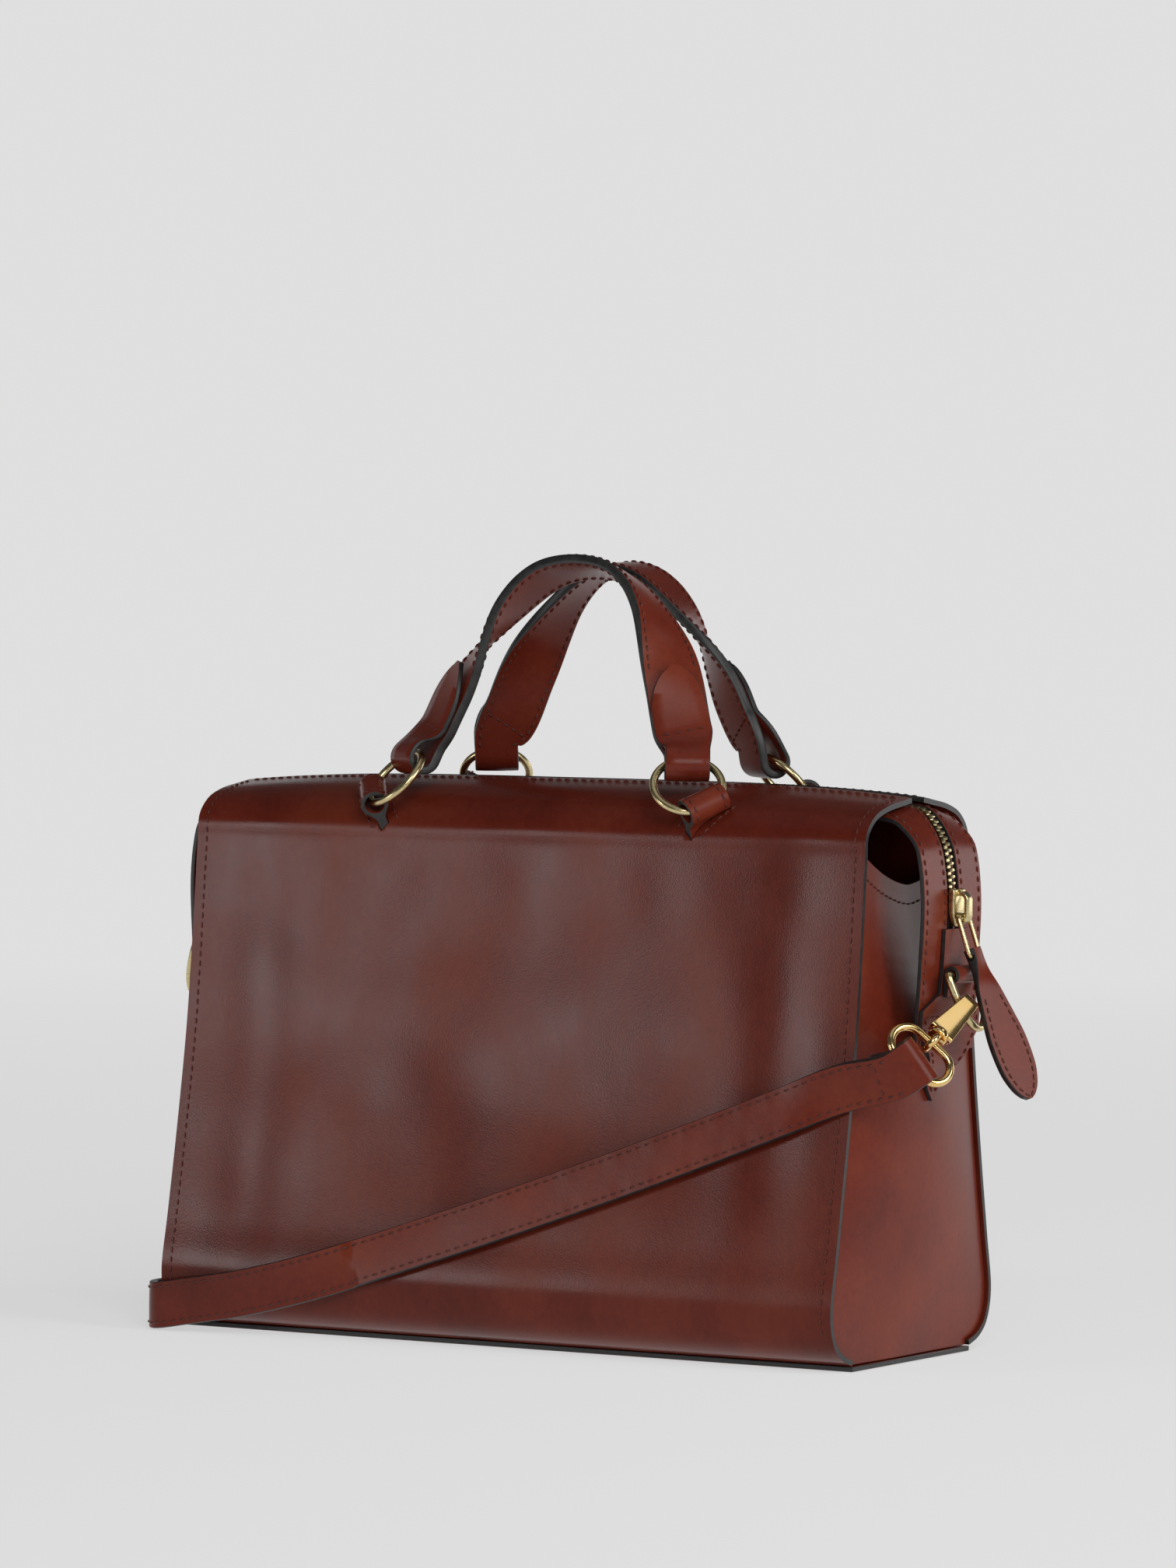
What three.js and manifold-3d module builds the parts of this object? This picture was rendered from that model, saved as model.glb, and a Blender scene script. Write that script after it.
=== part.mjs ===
// Boston bag of polished leather with two handles and a clipped-on shoulder strap.
// Millimetres, +Z up. X runs along the bag, the front faces -Y, and the origin is the
// middle of the base on the floor.
import * as THREE from "three";
import { mergeVertices } from "three/addons/utils/BufferGeometryUtils.js";
import Module from "manifold-3d";

const wasm = await Module();
wasm.setup();

// Driving dimensions of the body
const bagWidth = 295;
const bagHeight = 212; // to the panels' top edges at their ends
const topCrown = 4; // how much higher the top edges are at mid width
const baseDepth = 94;
const bulgeDepth = 129; // at the fullest place, near the foot
const shoulderDepth = 81;
const mouthGap = 10; // between the two panels' top edges
const panelWall = 2;
const baseWall = 2;
const gussetWall = 1.8;
const gussetInset = 1.5; // how far the side walls lie inside the panels' cut edges
const gussetSwell = 7.5;
const gussetDip = 12; // fall of a side wall's top edge towards its middle
const pieceGap = 0.3;

// Driving dimensions of the zip
const bandWidth = 46; // both zip strips and the chain between them
const bandWall = 1.8;
const bandProud = 15.5; // how far the band stands out from the panels' ends
const bandDrop = 92; // how far the strips run down each side
const chainWidth = 8.4;
const chainHeight = 2.8;
const chainSunk = 0.5; // below the strips' faces
const zipReach = 46; // how far down the chain runs
const sliderLength = 14;
const sliderWidth = 9.6;
const sliderDrop = 37.5; // from the band's top to the slider's middle
const bailWire = 0.9;
const bailLength = 18;
const bailWidth = 10.4;
const pullLength = 60;
const pullWidth = 16;
const pullWall = 3;

// Driving dimensions of the side tabs, their rings and the snap hooks
const tabWall = 1.6;
const tabNeck = 18;
const tabTop = 46; // below the band's top
const tabFlare = 76;
const tabTip = 111;
const barDrop = 63; // from the band's top to the middle of the rolled loop
const rollWidth = 19;
const sideRingWidth = 27;
const sideRingDepth = 24;
const sideRingSwing = 19; // degrees out from the side
const sideWire = 1.5;
const hookPlate = 22;
const hookWide = 10.4;
const hookNarrow = 5.6;
const hookThick = 3.2;
const clawHole = 3.7;
const clawWall = 2.6;
const gateThick = 2;
const linkLength = 29;
const linkWidth = 17;
const linkWire = 1.6;

// Driving dimensions of the shoulder strap and the handles
const strapWidth = 18;
const strapWall = 3;
const strapTail = 15;
const strapClear = 1.7; // between the strap and the panel it leans on
const handleWidth = 22.5;
const handleWall = 3.6;
const handleTab = 40;
const tabLayer = 2;
const handleRise = 85; // from the panels' top edges to the handles' middle line at the crown
const handleShift = 5; // both handles sit this far right of the middle
const frontLean = 23; // how far a crown leans in from its feet
const rearLean = 3;
const frontRound = 0.4; // a smaller value makes a squarer arch
const rearRound = 0.5;
const ringCentre = { across: 64.5, out: 37.4, above: 3.3 }; // above the panels' top edges
const ringRadius = 13; // to the middle of the wire
const ringWire = 1.5;
const ringTurn = 32; // degrees, a ring's plane from the front
const ringLean = 43; // degrees, a ring's plane from upright
const loopTurn = -58; // degrees round the ring to the middle of its loop
const loopWidth = 17;
const loopWall = 1.6;
const loopTail = 12;
const foldWidth = 17; // a handle's width where it turns round its ring

const vec = (x, y, z) => new THREE.Vector3(x, y, z);
const mix = THREE.MathUtils.lerp;
const ease = THREE.MathUtils.smoothstep;
const radians = THREE.MathUtils.degToRad;

// Meshes

function signedVolume(points, faces) {
  let sum = 0;
  for (const [a, b, c] of faces)
    sum += points[a].dot(vec(0, 0, 0).crossVectors(points[b], points[c]));
  return sum / 6;
}

// A closed body from points and triangles, with its faces turned outwards.
function closedBody(points, faces) {
  const outward = signedVolume(points, faces) < 0 ? faces.map(([a, b, c]) => [a, c, b]) : faces;
  const geometry = new THREE.BufferGeometry().setFromPoints(points);
  geometry.setIndex(outward.flat());
  geometry.computeVertexNormals();
  return geometry;
}

// Sections with the same number of points, joined in order. The ends are flat caps, or meet.
function loft(sections, looped = false) {
  const count = sections.length;
  const sides = sections[0].length;
  const faces = [];
  for (let i = 0; i < (looped ? count : count - 1); i++) {
    const next = (i + 1) % count;
    for (let j = 0; j < sides; j++) {
      const k = (j + 1) % sides;
      faces.push([i * sides + j, i * sides + k, next * sides + k]);
      faces.push([i * sides + j, next * sides + k, next * sides + j]);
    }
  }
  if (!looped) {
    const last = (count - 1) * sides;
    for (let j = 1; j < sides - 1; j++) {
      faces.push([0, j + 1, j]);
      faces.push([last, last + j, last + j + 1]);
    }
  }
  return closedBody(sections.flat(), faces);
}

// A wall between two grids of points, closed round its four edges.
function wallBetween(outer, inner) {
  const rows = outer.length;
  const columns = outer[0].length;
  const back = rows * columns;
  const at = (row, column) => row * columns + column;
  const faces = [];
  const quad = (a, b, c, d) => faces.push([a, b, c], [a, c, d]);
  for (let i = 0; i < rows - 1; i++)
    for (let j = 0; j < columns - 1; j++) {
      quad(at(i, j), at(i, j + 1), at(i + 1, j + 1), at(i + 1, j));
      quad(back + at(i, j), back + at(i + 1, j), back + at(i + 1, j + 1), back + at(i, j + 1));
    }
  for (let j = 0; j < columns - 1; j++) {
    quad(at(0, j + 1), at(0, j), back + at(0, j), back + at(0, j + 1));
    const end = rows - 1;
    quad(at(end, j), at(end, j + 1), back + at(end, j + 1), back + at(end, j));
  }
  for (let i = 0; i < rows - 1; i++) {
    quad(at(i, 0), at(i + 1, 0), back + at(i + 1, 0), back + at(i, 0));
    const side = columns - 1;
    quad(at(i + 1, side), at(i, side), back + at(i, side), back + at(i + 1, side));
  }
  return closedBody([...outer.flat(), ...inner.flat()], faces);
}

function grid(rows, columns, pointAt) {
  return Array.from({ length: rows + 1 }, (_, i) =>
    Array.from({ length: columns + 1 }, (_, j) => pointAt(i / rows, j / columns)),
  );
}

// Round wire along a flat path; facing is the normal of the path's plane.
function wire(path, radius, facing, sides = 6, looped = true) {
  const count = path.length;
  const sections = path.map((point, i) => {
    const before = path[looped ? (i + count - 1) % count : Math.max(i - 1, 0)];
    const after = path[looped ? (i + 1) % count : Math.min(i + 1, count - 1)];
    const along = after.clone().sub(before).normalize();
    const radial = vec(0, 0, 0).crossVectors(along, facing).normalize();
    return Array.from({ length: sides }, (_, k) => {
      const angle = (2 * Math.PI * k) / sides;
      return point
        .clone()
        .addScaledVector(radial, radius * Math.cos(angle))
        .addScaledVector(facing, radius * Math.sin(angle));
    });
  });
  return loft(sections, looped);
}

// A flat strip: each station has a middle, the direction across it, its face's direction and size.
function ribbon(stations) {
  return loft(
    stations.map(({ at, across, face, width, wall }) =>
      [[-1, -1], [1, -1], [1, 1], [-1, 1]].map(([a, b]) =>
        at
          .clone()
          .addScaledVector(across, (a * width) / 2)
          .addScaledVector(face, (b * wall) / 2),
      ),
    ),
  );
}

const evenShares = (count) => Array.from({ length: count + 1 }, (_, i) => i / count);

// Stations along a path, with the across direction squared to it. turned(share) gives that
// direction, and the face is across x along.
function stationsAlong(path, shares, turned, width, wall) {
  const curve = new THREE.CatmullRomCurve3(path, false, "centripetal");
  curve.arcLengthDivisions = 800;
  return shares.map((share) => {
    const at = curve.getPointAt(share);
    const along = curve.getTangentAt(share);
    const wanted = turned(at, share);
    const across = wanted.addScaledVector(along, -wanted.dot(along)).normalize();
    const face = vec(0, 0, 0).crossVectors(across, along).normalize();
    return { at, across, face, width, wall };
  });
}

// The tail of a strip that is folded back round a wire: from its tip, along the first stations on
// their side away from the face, and round the wire.
function foldedTail(stations, length, wireRadius, wall, widthAt) {
  const first = stations[0];
  const inner = first.face.clone().negate();
  const hub = first.at.clone().addScaledVector(inner, first.wall / 2 + pieceGap + wireRadius);
  const away = hub.clone().sub(first.at).normalize();
  const along = stations[1].at.clone().sub(first.at);
  along.addScaledVector(away, -along.dot(away)).normalize();
  const tail = [];
  let run = 0;
  for (let i = 0; i < stations.length && run < length; i++) {
    if (i) run += stations[i].at.distanceTo(stations[i - 1].at);
    const share = Math.min(run / length, 1);
    const spread = mix(2 * (wireRadius + pieceGap), pieceGap, ease(run, 0, 0.4 * length));
    const station = stations[i];
    tail.unshift({
      at: station.at.clone().addScaledVector(station.face, -((station.wall + wall) / 2 + spread)),
      across: station.across,
      face: station.face.clone().negate(),
      width: widthAt(share),
      wall,
    });
  }
  const steps = 6;
  for (let i = 1; i < steps; i++) {
    const angle = (Math.PI * i) / steps;
    const size = mix(wall, first.wall, i / steps);
    const outward = away
      .clone()
      .multiplyScalar(Math.cos(angle))
      .addScaledVector(along, -Math.sin(angle));
    tail.push({
      at: hub.clone().addScaledVector(outward, wireRadius + pieceGap + size / 2),
      across: first.across,
      face: outward,
      width: first.width,
      wall: size,
    });
  }
  return tail;
}

function solidOf(geometry) {
  const bare = geometry.index ? geometry.clone() : geometry;
  bare.deleteAttribute("normal");
  bare.deleteAttribute("uv");
  const merged = mergeVertices(bare, 1e-4);
  return new wasm.Manifold(
    new wasm.Mesh({
      numProp: 3,
      vertProperties: merged.attributes.position.array,
      triVerts: new Uint32Array(merged.index.array),
    }),
  );
}

function geometryOf(solid) {
  const mesh = solid.getMesh();
  const geometry = new THREE.BufferGeometry();
  geometry.setAttribute("position", new THREE.BufferAttribute(mesh.vertProperties, 3));
  geometry.setIndex(new THREE.BufferAttribute(mesh.triVerts, 1));
  geometry.computeVertexNormals();
  return geometry;
}

function frameMatrix(xAxis, yAxis, zAxis, at) {
  return new THREE.Matrix4().makeBasis(xAxis, yAxis, zAxis).setPosition(at);
}

function roundHole(radius, sides) {
  const points = Array.from({ length: sides }, (_, i) => {
    const angle = (-2 * Math.PI * i) / sides;
    return new THREE.Vector2(radius * Math.cos(angle), radius * Math.sin(angle));
  });
  return new THREE.Path(points);
}

// An outline in a plane, made a plate that is centred on that plane.
function plate(points, wall, bevel = 0) {
  const shape = new THREE.Shape(points.map(([x, y]) => new THREE.Vector2(x, y)));
  const geometry = new THREE.ExtrudeGeometry(shape, {
    depth: wall - 2 * bevel,
    bevelEnabled: bevel > 0,
    bevelThickness: bevel,
    bevelSize: bevel,
    bevelOffset: -bevel,
    bevelSegments: 1,
  });
  return geometry.translate(0, 0, bevel - wall / 2);
}

// Materials

const leather = (color) => new THREE.MeshStandardMaterial({ color, roughness: 0.4, metalness: 0 });
const metal = (color) => new THREE.MeshStandardMaterial({ color, roughness: 0.25, metalness: 1 });
const chestnut = leather("#6b2c1e");
const chestnutDark = leather("#552318");
const paleBrass = metal("#c8ad6e");
const gold = metal("#e0b25a");

const bag = new THREE.Group();

function place(name, geometry, material, parent = bag) {
  const mesh = new THREE.Mesh(geometry, material);
  mesh.name = name;
  parent.add(mesh);
  return mesh;
}

// Panels

// Side profile of a panel in three runs. In each, out goes from the first half depth to the
// second as a share, and up is a share of the height above the base sheet.
const footHeight = baseWall + pieceGap;
const profileRuns = [
  {
    from: baseDepth / 2,
    to: bulgeDepth / 2,
    rows: [
      { out: 0, up: 0 },
      { out: 0.43, up: 0.012 },
      { out: 0.77, up: 0.034 },
      { out: 0.95, up: 0.066 },
      { out: 1, up: 0.103 },
    ],
  },
  {
    from: bulgeDepth / 2,
    to: shoulderDepth / 2,
    rows: [
      { out: 0.15, up: 0.194 },
      { out: 0.41, up: 0.356 },
      { out: 0.69, up: 0.561 },
      { out: 0.89, up: 0.8 },
      { out: 0.96, up: 0.895 },
      { out: 1, up: 0.938 },
    ],
  },
  {
    from: shoulderDepth / 2,
    to: mouthGap / 2,
    rows: [
      { out: 0.17, up: 0.968 },
      { out: 0.44, up: 0.985 },
      { out: 0.8, up: 0.995 },
      { out: 1, up: 1 },
    ],
  },
];
const profile = new THREE.CatmullRomCurve3(
  profileRuns.flatMap(({ from, to, rows }) =>
    rows.map(({ out, up }) => vec(0, mix(from, to, out), mix(footHeight, bagHeight, up))),
  ),
  false,
  "centripetal",
);

// Soft hollows in a panel's face: centre and reach as shares of half the width and of the height.
const hollows = [
  { across: 0.05, up: 0.5, wide: 0.5, tall: 0.26, deep: 2.6 },
  { across: -0.78, up: 0.45, wide: 0.1, tall: 0.4, deep: 1.2 },
  { across: 0.8, up: 0.55, wide: 0.09, tall: 0.35, deep: 1.2 },
];

function hollowAt(across, up) {
  const rim = 1 - across ** 6;
  return hollows.reduce(
    (sum, { across: x, up: z, wide, tall, deep }) =>
      sum + rim * deep * Math.exp(-(((across - x) / wide) ** 2) - ((up - z) / tall) ** 2),
    0,
  );
}

const crownAt = (across, depth) =>
  topCrown * (1 - across ** 4) * Math.max(0, 1 - (2 * depth / shoulderDepth) ** 2);

// Depth and height at a share of the profile, moved inwards by inset.
function profileAt(share, inset) {
  const point = profile.getPointAt(share);
  const along = profile.getTangentAt(share);
  return { depth: point.y - along.z * inset, height: point.z + along.y * inset };
}

function panelPoint(side, across, share, inset) {
  const { depth, height } = profileAt(share, inset);
  return vec(
    (across * bagWidth) / 2,
    side * (depth - hollowAt(across, height / bagHeight)),
    height + crownAt(across, depth),
  );
}

// The share of the profile at which it reaches a height on the face or a depth on the top.
function shareWhere(test) {
  const steps = 400;
  for (let i = 0; i <= steps; i++) if (test(profileAt(i / steps, 0))) return i / steps;
  return 1;
}

function topAt(x, depth) {
  const share = shareWhere((p) => p.height > 0.9 * bagHeight && p.depth <= depth);
  return profileAt(share, 0).height + crownAt(Math.min(1, Math.abs(2 * x) / bagWidth), depth);
}

const faceDepth = (height) =>
  profileAt(shareWhere((p) => p.height >= height), 0).depth;

// More points where the profile turns: round the foot and over the shoulder.
const profileShares = (() => {
  const shares = [];
  const steps = { foot: 6, face: 9, shoulder: 9 };
  const bulge = shareWhere((p) => p.height >= 0.12 * bagHeight);
  const shoulder = shareWhere((p) => p.height >= 0.89 * bagHeight);
  for (let i = 0; i < steps.foot; i++) shares.push((bulge * i) / steps.foot);
  for (let i = 0; i < steps.face; i++) shares.push(mix(bulge, shoulder, i / steps.face));
  for (let i = 0; i <= steps.shoulder; i++) shares.push(mix(shoulder, 1, i / steps.shoulder));
  return shares;
})();
const panelColumns = 12;

function panelGeometry(side, slots) {
  const rows = (inset) =>
    profileShares.map((share) =>
      Array.from({ length: panelColumns + 1 }, (_, j) =>
        panelPoint(side, (2 * j) / panelColumns - 1, share, inset),
      ),
    );
  return geometryOf(
    slots.reduce((solid, slot) => solid.subtract(slot), solidOf(wallBetween(rows(0), rows(panelWall)))),
  );
}

// Handle rings and the leather loops that hold them

// Turns a direction or place of the front right quarter into another quarter.
const quarter = (v, sideX, sideY) => vec(v.x * sideX, -v.y * sideY, v.z);

const ringAcross = vec(Math.cos(radians(ringTurn)), Math.sin(radians(ringTurn)), 0);
const ringUp = vec(
  -Math.sin(radians(ringLean)) * Math.sin(radians(ringTurn)),
  Math.sin(radians(ringLean)) * Math.cos(radians(ringTurn)),
  Math.cos(radians(ringLean)),
);

function ringFrame(sideX, sideY) {
  const across = quarter(ringAcross, sideX, sideY);
  const up = quarter(ringUp, sideX, sideY);
  const facing = vec(0, 0, 0).crossVectors(across, up);
  const centre = vec(
    sideX * ringCentre.across + handleShift,
    sideY * ringCentre.out,
    bagHeight + ringCentre.above,
  );
  return { across, up, facing, centre };
}

// The loop's own frame: x along the wire it holds, y up out of its slot.
function loopFrame(sideX, sideY) {
  const { across, up, centre } = ringFrame(sideX, sideY);
  const angle = radians(loopTurn);
  const radial = across.clone().multiplyScalar(Math.cos(angle)).addScaledVector(up, Math.sin(angle));
  const along = across.clone().multiplyScalar(-Math.sin(angle)).addScaledVector(up, Math.cos(angle));
  const at = centre.clone().addScaledVector(radial, ringRadius - ringBow);
  const down = vec(0, -0.7 * sideY, -0.72);
  const tail = down.addScaledVector(along, -down.dot(along)).normalize();
  return { along, tail, at };
}

// The wire bows away from a straight bore, so the bore is wider than the wire and its middle
// lies inside the ring's circle by ringBow.
const wireSlope = Math.asin(loopWidth / 2 / ringRadius);
const bowDepth = ringRadius * (1 - Math.cos(wireSlope)) + ringWire / Math.cos(wireSlope) - ringWire;
const ringBow = bowDepth / 2;
const loopBore = ringWire + pieceGap + ringBow + 0.15;
const loopNeck = loopWall + 0.2; // half of the two ends together

// Outline of a loop seen along its bore, grown by a margin.
function loopOutline(margin) {
  const outer = loopBore + loopWall + margin;
  const neck = loopNeck + margin;
  const points = [[neck, -loopTail], [neck, -outer - 0.6]];
  const steps = 9;
  for (let i = 0; i <= steps; i++) {
    const angle = radians(mix(-45, 225, i / steps));
    points.push([outer * Math.cos(angle), outer * Math.sin(angle)]);
  }
  points.push([-neck, -outer - 0.6], [-neck, -loopTail]);
  return points;
}

function loopGeometry() {
  const shape = new THREE.Shape(loopOutline(0).map(([x, y]) => new THREE.Vector2(x, y)));
  shape.holes.push(roundHole(loopBore, 10));
  const geometry = new THREE.ExtrudeGeometry(shape, {
    depth: loopWidth,
    bevelEnabled: false,
    curveSegments: 5,
  });
  geometry.translate(0, 0, -loopWidth / 2);
  return geometry;
}

// The slot in a panel that a loop's two ends pass through, with room for the loop's round part
// where it touches the panel.
function slotSolid(frame) {
  const slot = plate(loopOutline(pieceGap), loopWidth + 2 * pieceGap);
  return solidOf(slot.applyMatrix4(loopMatrix(frame)));
}

function loopMatrix({ along, tail, at }) {
  const up = tail.clone().negate();
  return frameMatrix(vec(0, 0, 0).crossVectors(up, along), up, along, at);
}

for (const [sideY, end] of [[-1, "front"], [1, "rear"]]) {
  const slots = [];
  for (const [sideX, hand] of [[-1, "left"], [1, "right"]]) {
    const { across, up, facing, centre } = ringFrame(sideX, sideY);
    const ring = new THREE.TorusGeometry(ringRadius, ringWire, 6, 22);
    const ringMesh = place(`handle_ring_${end}_${hand}`, ring, paleBrass);
    ringMesh.applyMatrix4(frameMatrix(across, up, facing, centre));
    const frame = loopFrame(sideX, sideY);
    const loopMesh = place(`handle_loop_${end}_${hand}`, loopGeometry(), chestnut);
    loopMesh.applyMatrix4(loopMatrix(frame));
    slots.push(slotSolid(frame));
  }
  place(`${end}_panel`, panelGeometry(sideY, slots), chestnut);
}

// Base sheet

const base = new THREE.BoxGeometry(bagWidth, baseDepth, baseWall);
place("base_panel", base.translate(0, 0, baseWall / 2), chestnutDark);

// Side walls: each lies between the panels, swells in the middle and dips at its top edge.

const gussetTop = shareWhere((p) => p.height >= 0.9 * bagHeight);
const gussetRuns = [
  { up: 0, swell: 0 },
  { up: 0.12, swell: 0.35 },
  { up: 0.3, swell: 0.75 },
  { up: 0.5, swell: 1 },
  { up: 0.64, swell: 0.8 },
  { up: 0.82, swell: 0.1 },
  { up: 1, swell: -0.3 },
];
const gussetSwellCurve = new THREE.CatmullRomCurve3(
  gussetRuns.map(({ up, swell }) => vec(up, swell, 0)),
  false,
  "centripetal",
);

function swellAt(up) {
  const steps = 60;
  for (let i = 0; i <= steps; i++) {
    const point = gussetSwellCurve.getPoint(i / steps);
    if (point.x >= up) return point.y;
  }
  return gussetSwellCurve.getPoint(1).y;
}

function gussetPoint(row, column, inset) {
  const edge =
    row < 0
      ? { depth: baseDepth / 2 - 2 * pieceGap, height: footHeight }
      : profileAt(row * gussetTop, panelWall + pieceGap);
  const across = 2 * column - 1;
  const middle = 1 - across ** 2;
  const dip = gussetDip * (1 - Math.abs(across) ** 1.5) * ease(row, 0.55, 1);
  const up = edge.height / (0.9 * bagHeight);
  const x = bagWidth / 2 - gussetInset - inset + gussetSwell * middle * swellAt(up);
  return vec(x, across * edge.depth, edge.height - dip);
}

function gussetGeometry() {
  const shares = [-1, 0, ...profileShares.filter((share) => share > 0 && share < gussetTop)];
  const rows = shares.map((share) => (share < 0 ? -1 : share / gussetTop)).concat(1);
  const columns = 8;
  const side = (inset) =>
    rows.map((row) =>
      Array.from({ length: columns + 1 }, (_, j) => gussetPoint(row, j / columns, inset)),
    );
  return wallBetween(side(0), side(gussetWall));
}

// Zip band

// How the band turns over each end and comes down: out is a share of bandProud, down of the
// drop below the band's top.
const bandEnd = bagWidth / 2;
const bandTurn = [
  { out: -0.26, down: 0 },
  { out: 0.2, down: 0.018 },
  { out: 0.53, down: 0.075 },
  { out: 0.8, down: 0.155 },
  { out: 0.92, down: 0.24 },
  { out: 0.98, down: 0.33 },
  { out: 1, down: 0.43 },
  { out: 0.94, down: 0.65 },
  { out: 0.8, down: 1 },
];
const stripTop = (x, depth) => topAt(x, depth) - panelWall - 2 * pieceGap;
const bandTop = stripTop(bandEnd, mouthGap / 2);
const bandRight = bandTurn.map(({ out, down }) =>
  vec(bandEnd + out * bandProud, 0, bandTop - down * bandDrop),
);
const bandMiddle = [0.93, 0.8, 0.6, 0.35, 0].map((share) =>
  vec(share * bandEnd, 0, stripTop(share * bandEnd, mouthGap / 2)),
);
const bandHalf = [...bandMiddle.reverse(), ...bandRight];
const bandPath = new THREE.CatmullRomCurve3(
  [
    ...bandHalf
      .slice(1)
      .reverse()
      .map((p) => vec(-p.x, 0, p.z)),
    ...bandHalf,
  ],
  false,
  "centripetal",
);

// A point on the band: share of its path, distance across and depth below its face.
function bandPoint(share, y, inset) {
  const point = bandPath.getPointAt(share);
  const along = bandPath.getTangentAt(share);
  const upright = Math.min(1, Math.max(0, (bandTop - point.z) / (0.2 * bandDrop)));
  const fall = (topAt(0, mouthGap / 2) - topAt(0, Math.max(Math.abs(y), mouthGap / 2))) *
    (1 - ease(upright, 0, 1));
  return vec(point.x + along.z * inset, y, point.z - along.x * inset - fall);
}

function bandShareAt(drop) {
  const steps = 600;
  for (let i = steps / 2; i <= steps; i++)
    if (bandPath.getPointAt(i / steps).z <= bandTop - drop) return i / steps;
  return 1;
}

// Shares along the band: few over the flat top, more round its turns, and down to a drop.
function bandShares(drop) {
  const end = bandShareAt(drop);
  const turn = bandShareAt(0.02);
  const top = 8;
  const side = 13;
  const right = [];
  for (let i = 0; i <= top / 2; i++) right.push(mix(0.5, turn, (2 * i) / top));
  for (let i = 1; i <= side; i++) right.push(mix(turn, end, i / side));
  return [...right.slice(1).reverse().map((share) => 1 - share), ...right];
}

function bandPiece(nearY, farY, topInset, wall, drop, columns) {
  const side = (inset) =>
    bandShares(drop).map((share) =>
      Array.from({ length: columns + 1 }, (_, j) =>
        bandPoint(share, mix(nearY, farY, j / columns), inset),
      ),
    );
  return wallBetween(side(topInset), side(topInset + wall));
}

const stripInner = chainWidth / 2 + pieceGap;
place("zip_strip_front", bandPiece(-bandWidth / 2, -stripInner, 0, bandWall, bandDrop, 2), chestnut);
place("zip_strip_rear", bandPiece(stripInner, bandWidth / 2, 0, bandWall, bandDrop, 2), chestnut);
place(
  "zip_chain",
  bandPiece(-chainWidth / 2, chainWidth / 2, chainSunk, chainHeight, zipReach, 1),
  paleBrass,
);

// The band's outward frame at a drop below its top, on the right side.
function bandFrame(drop, proud) {
  const share = bandShareAt(drop);
  const along = bandPath.getTangentAt(share).normalize();
  const outward = vec(-along.z, 0, along.x);
  const at = bandPoint(share, 0, -proud);
  return { at, down: along, outward };
}

// Zip slider with its bridge, the wire bail and the leather pull

const slider = bandFrame(sliderDrop, pieceGap);
const across = vec(0, 1, 0);
const sliderPlate = 2.4;
const bridgeRise = 4.6;

function sliderGeometry() {
  const half = sliderWidth / 2;
  const length = sliderLength / 2;
  const outline = [
    [-half, length], [half, length], [half, -0.2 * length],
    [0.62 * half, -length], [-0.62 * half, -length], [-half, -0.2 * length],
  ];
  const body = plate(outline, sliderPlate, 0.4).translate(0, 0, sliderPlate / 2);
  const bridge = plate(
    [
      [-0.9 * length, 0], [-0.9 * length, bridgeRise], [0.9 * length, bridgeRise],
      [0.9 * length, 0], [0.9 * length - 2, 0], [0.9 * length - 2, bridgeRise - 1.6],
      [2 - 0.9 * length, bridgeRise - 1.6], [2 - 0.9 * length, 0],
    ],
    4.4,
  );
  bridge.rotateX(Math.PI / 2).rotateZ(Math.PI / 2).translate(0, 0, sliderPlate - 0.4);
  return geometryOf(solidOf(body).add(solidOf(bridge)));
}

place("zip_slider", sliderGeometry(), paleBrass).applyMatrix4(
  frameMatrix(
    across.clone().negate(),
    slider.down.clone().negate(),
    slider.outward,
    slider.at,
  ),
);

// A rectangle with round corners, in the plane of two directions.
function roundedPath(centre, long, short, length, width, corner, steps) {
  const points = [];
  const corners = [[1, 1], [-1, 1], [-1, -1], [1, -1]];
  corners.forEach(([end, side], turn) => {
    for (let i = 0; i <= steps; i++) {
      const angle = (Math.PI / 2) * (turn + i / steps);
      const a = end * (length / 2 - corner) + corner * Math.cos(angle);
      const b = side * (width / 2 - corner) + corner * Math.sin(angle);
      points.push(centre.clone().addScaledVector(long, a).addScaledVector(short, b));
    }
  });
  return points;
}

const bailTop = slider.at
  .clone()
  .addScaledVector(slider.outward, sliderPlate + (bridgeRise - 2) / 2)
  .addScaledVector(slider.down, 0.9 * (sliderLength / 2) - 2 - bailWire - 2 * pieceGap);
const bailSwing = radians(19);
const bailDown = vec(Math.sin(bailSwing), 0, -Math.cos(bailSwing));
const bailCentre = bailTop.clone().addScaledVector(bailDown, bailLength / 2 - bailWire);
const bailPath = roundedPath(
  bailCentre, bailDown, across, bailLength - 2 * bailWire, bailWidth - 2 * bailWire, 2, 3,
);
const bailFacing = vec(0, 0, 0).crossVectors(bailDown, across);
place("zip_bail", wire(bailPath, bailWire, bailFacing, 6), paleBrass);

// The pull hangs from the bail, turned a little to the front.
const pullTurn = radians(58);
const pullAcross = vec(Math.cos(pullTurn), Math.sin(pullTurn), 0);
const pullSwing = radians(22);
const bailFoot = bailTop.clone().addScaledVector(bailDown, bailLength - 2 * bailWire);
const pullRows = [
  { down: 0, wide: 0.4 },
  { down: 0.12, wide: 0.44 },
  { down: 0.25, wide: 0.6 },
  { down: 0.45, wide: 0.84 },
  { down: 0.62, wide: 1 },
  { down: 0.78, wide: 0.97 },
  { down: 0.9, wide: 0.74 },
  { down: 0.97, wide: 0.42 },
  { down: 1, wide: 0.12 },
];
const pullHole = bailWire + pieceGap + 0.4;

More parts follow.
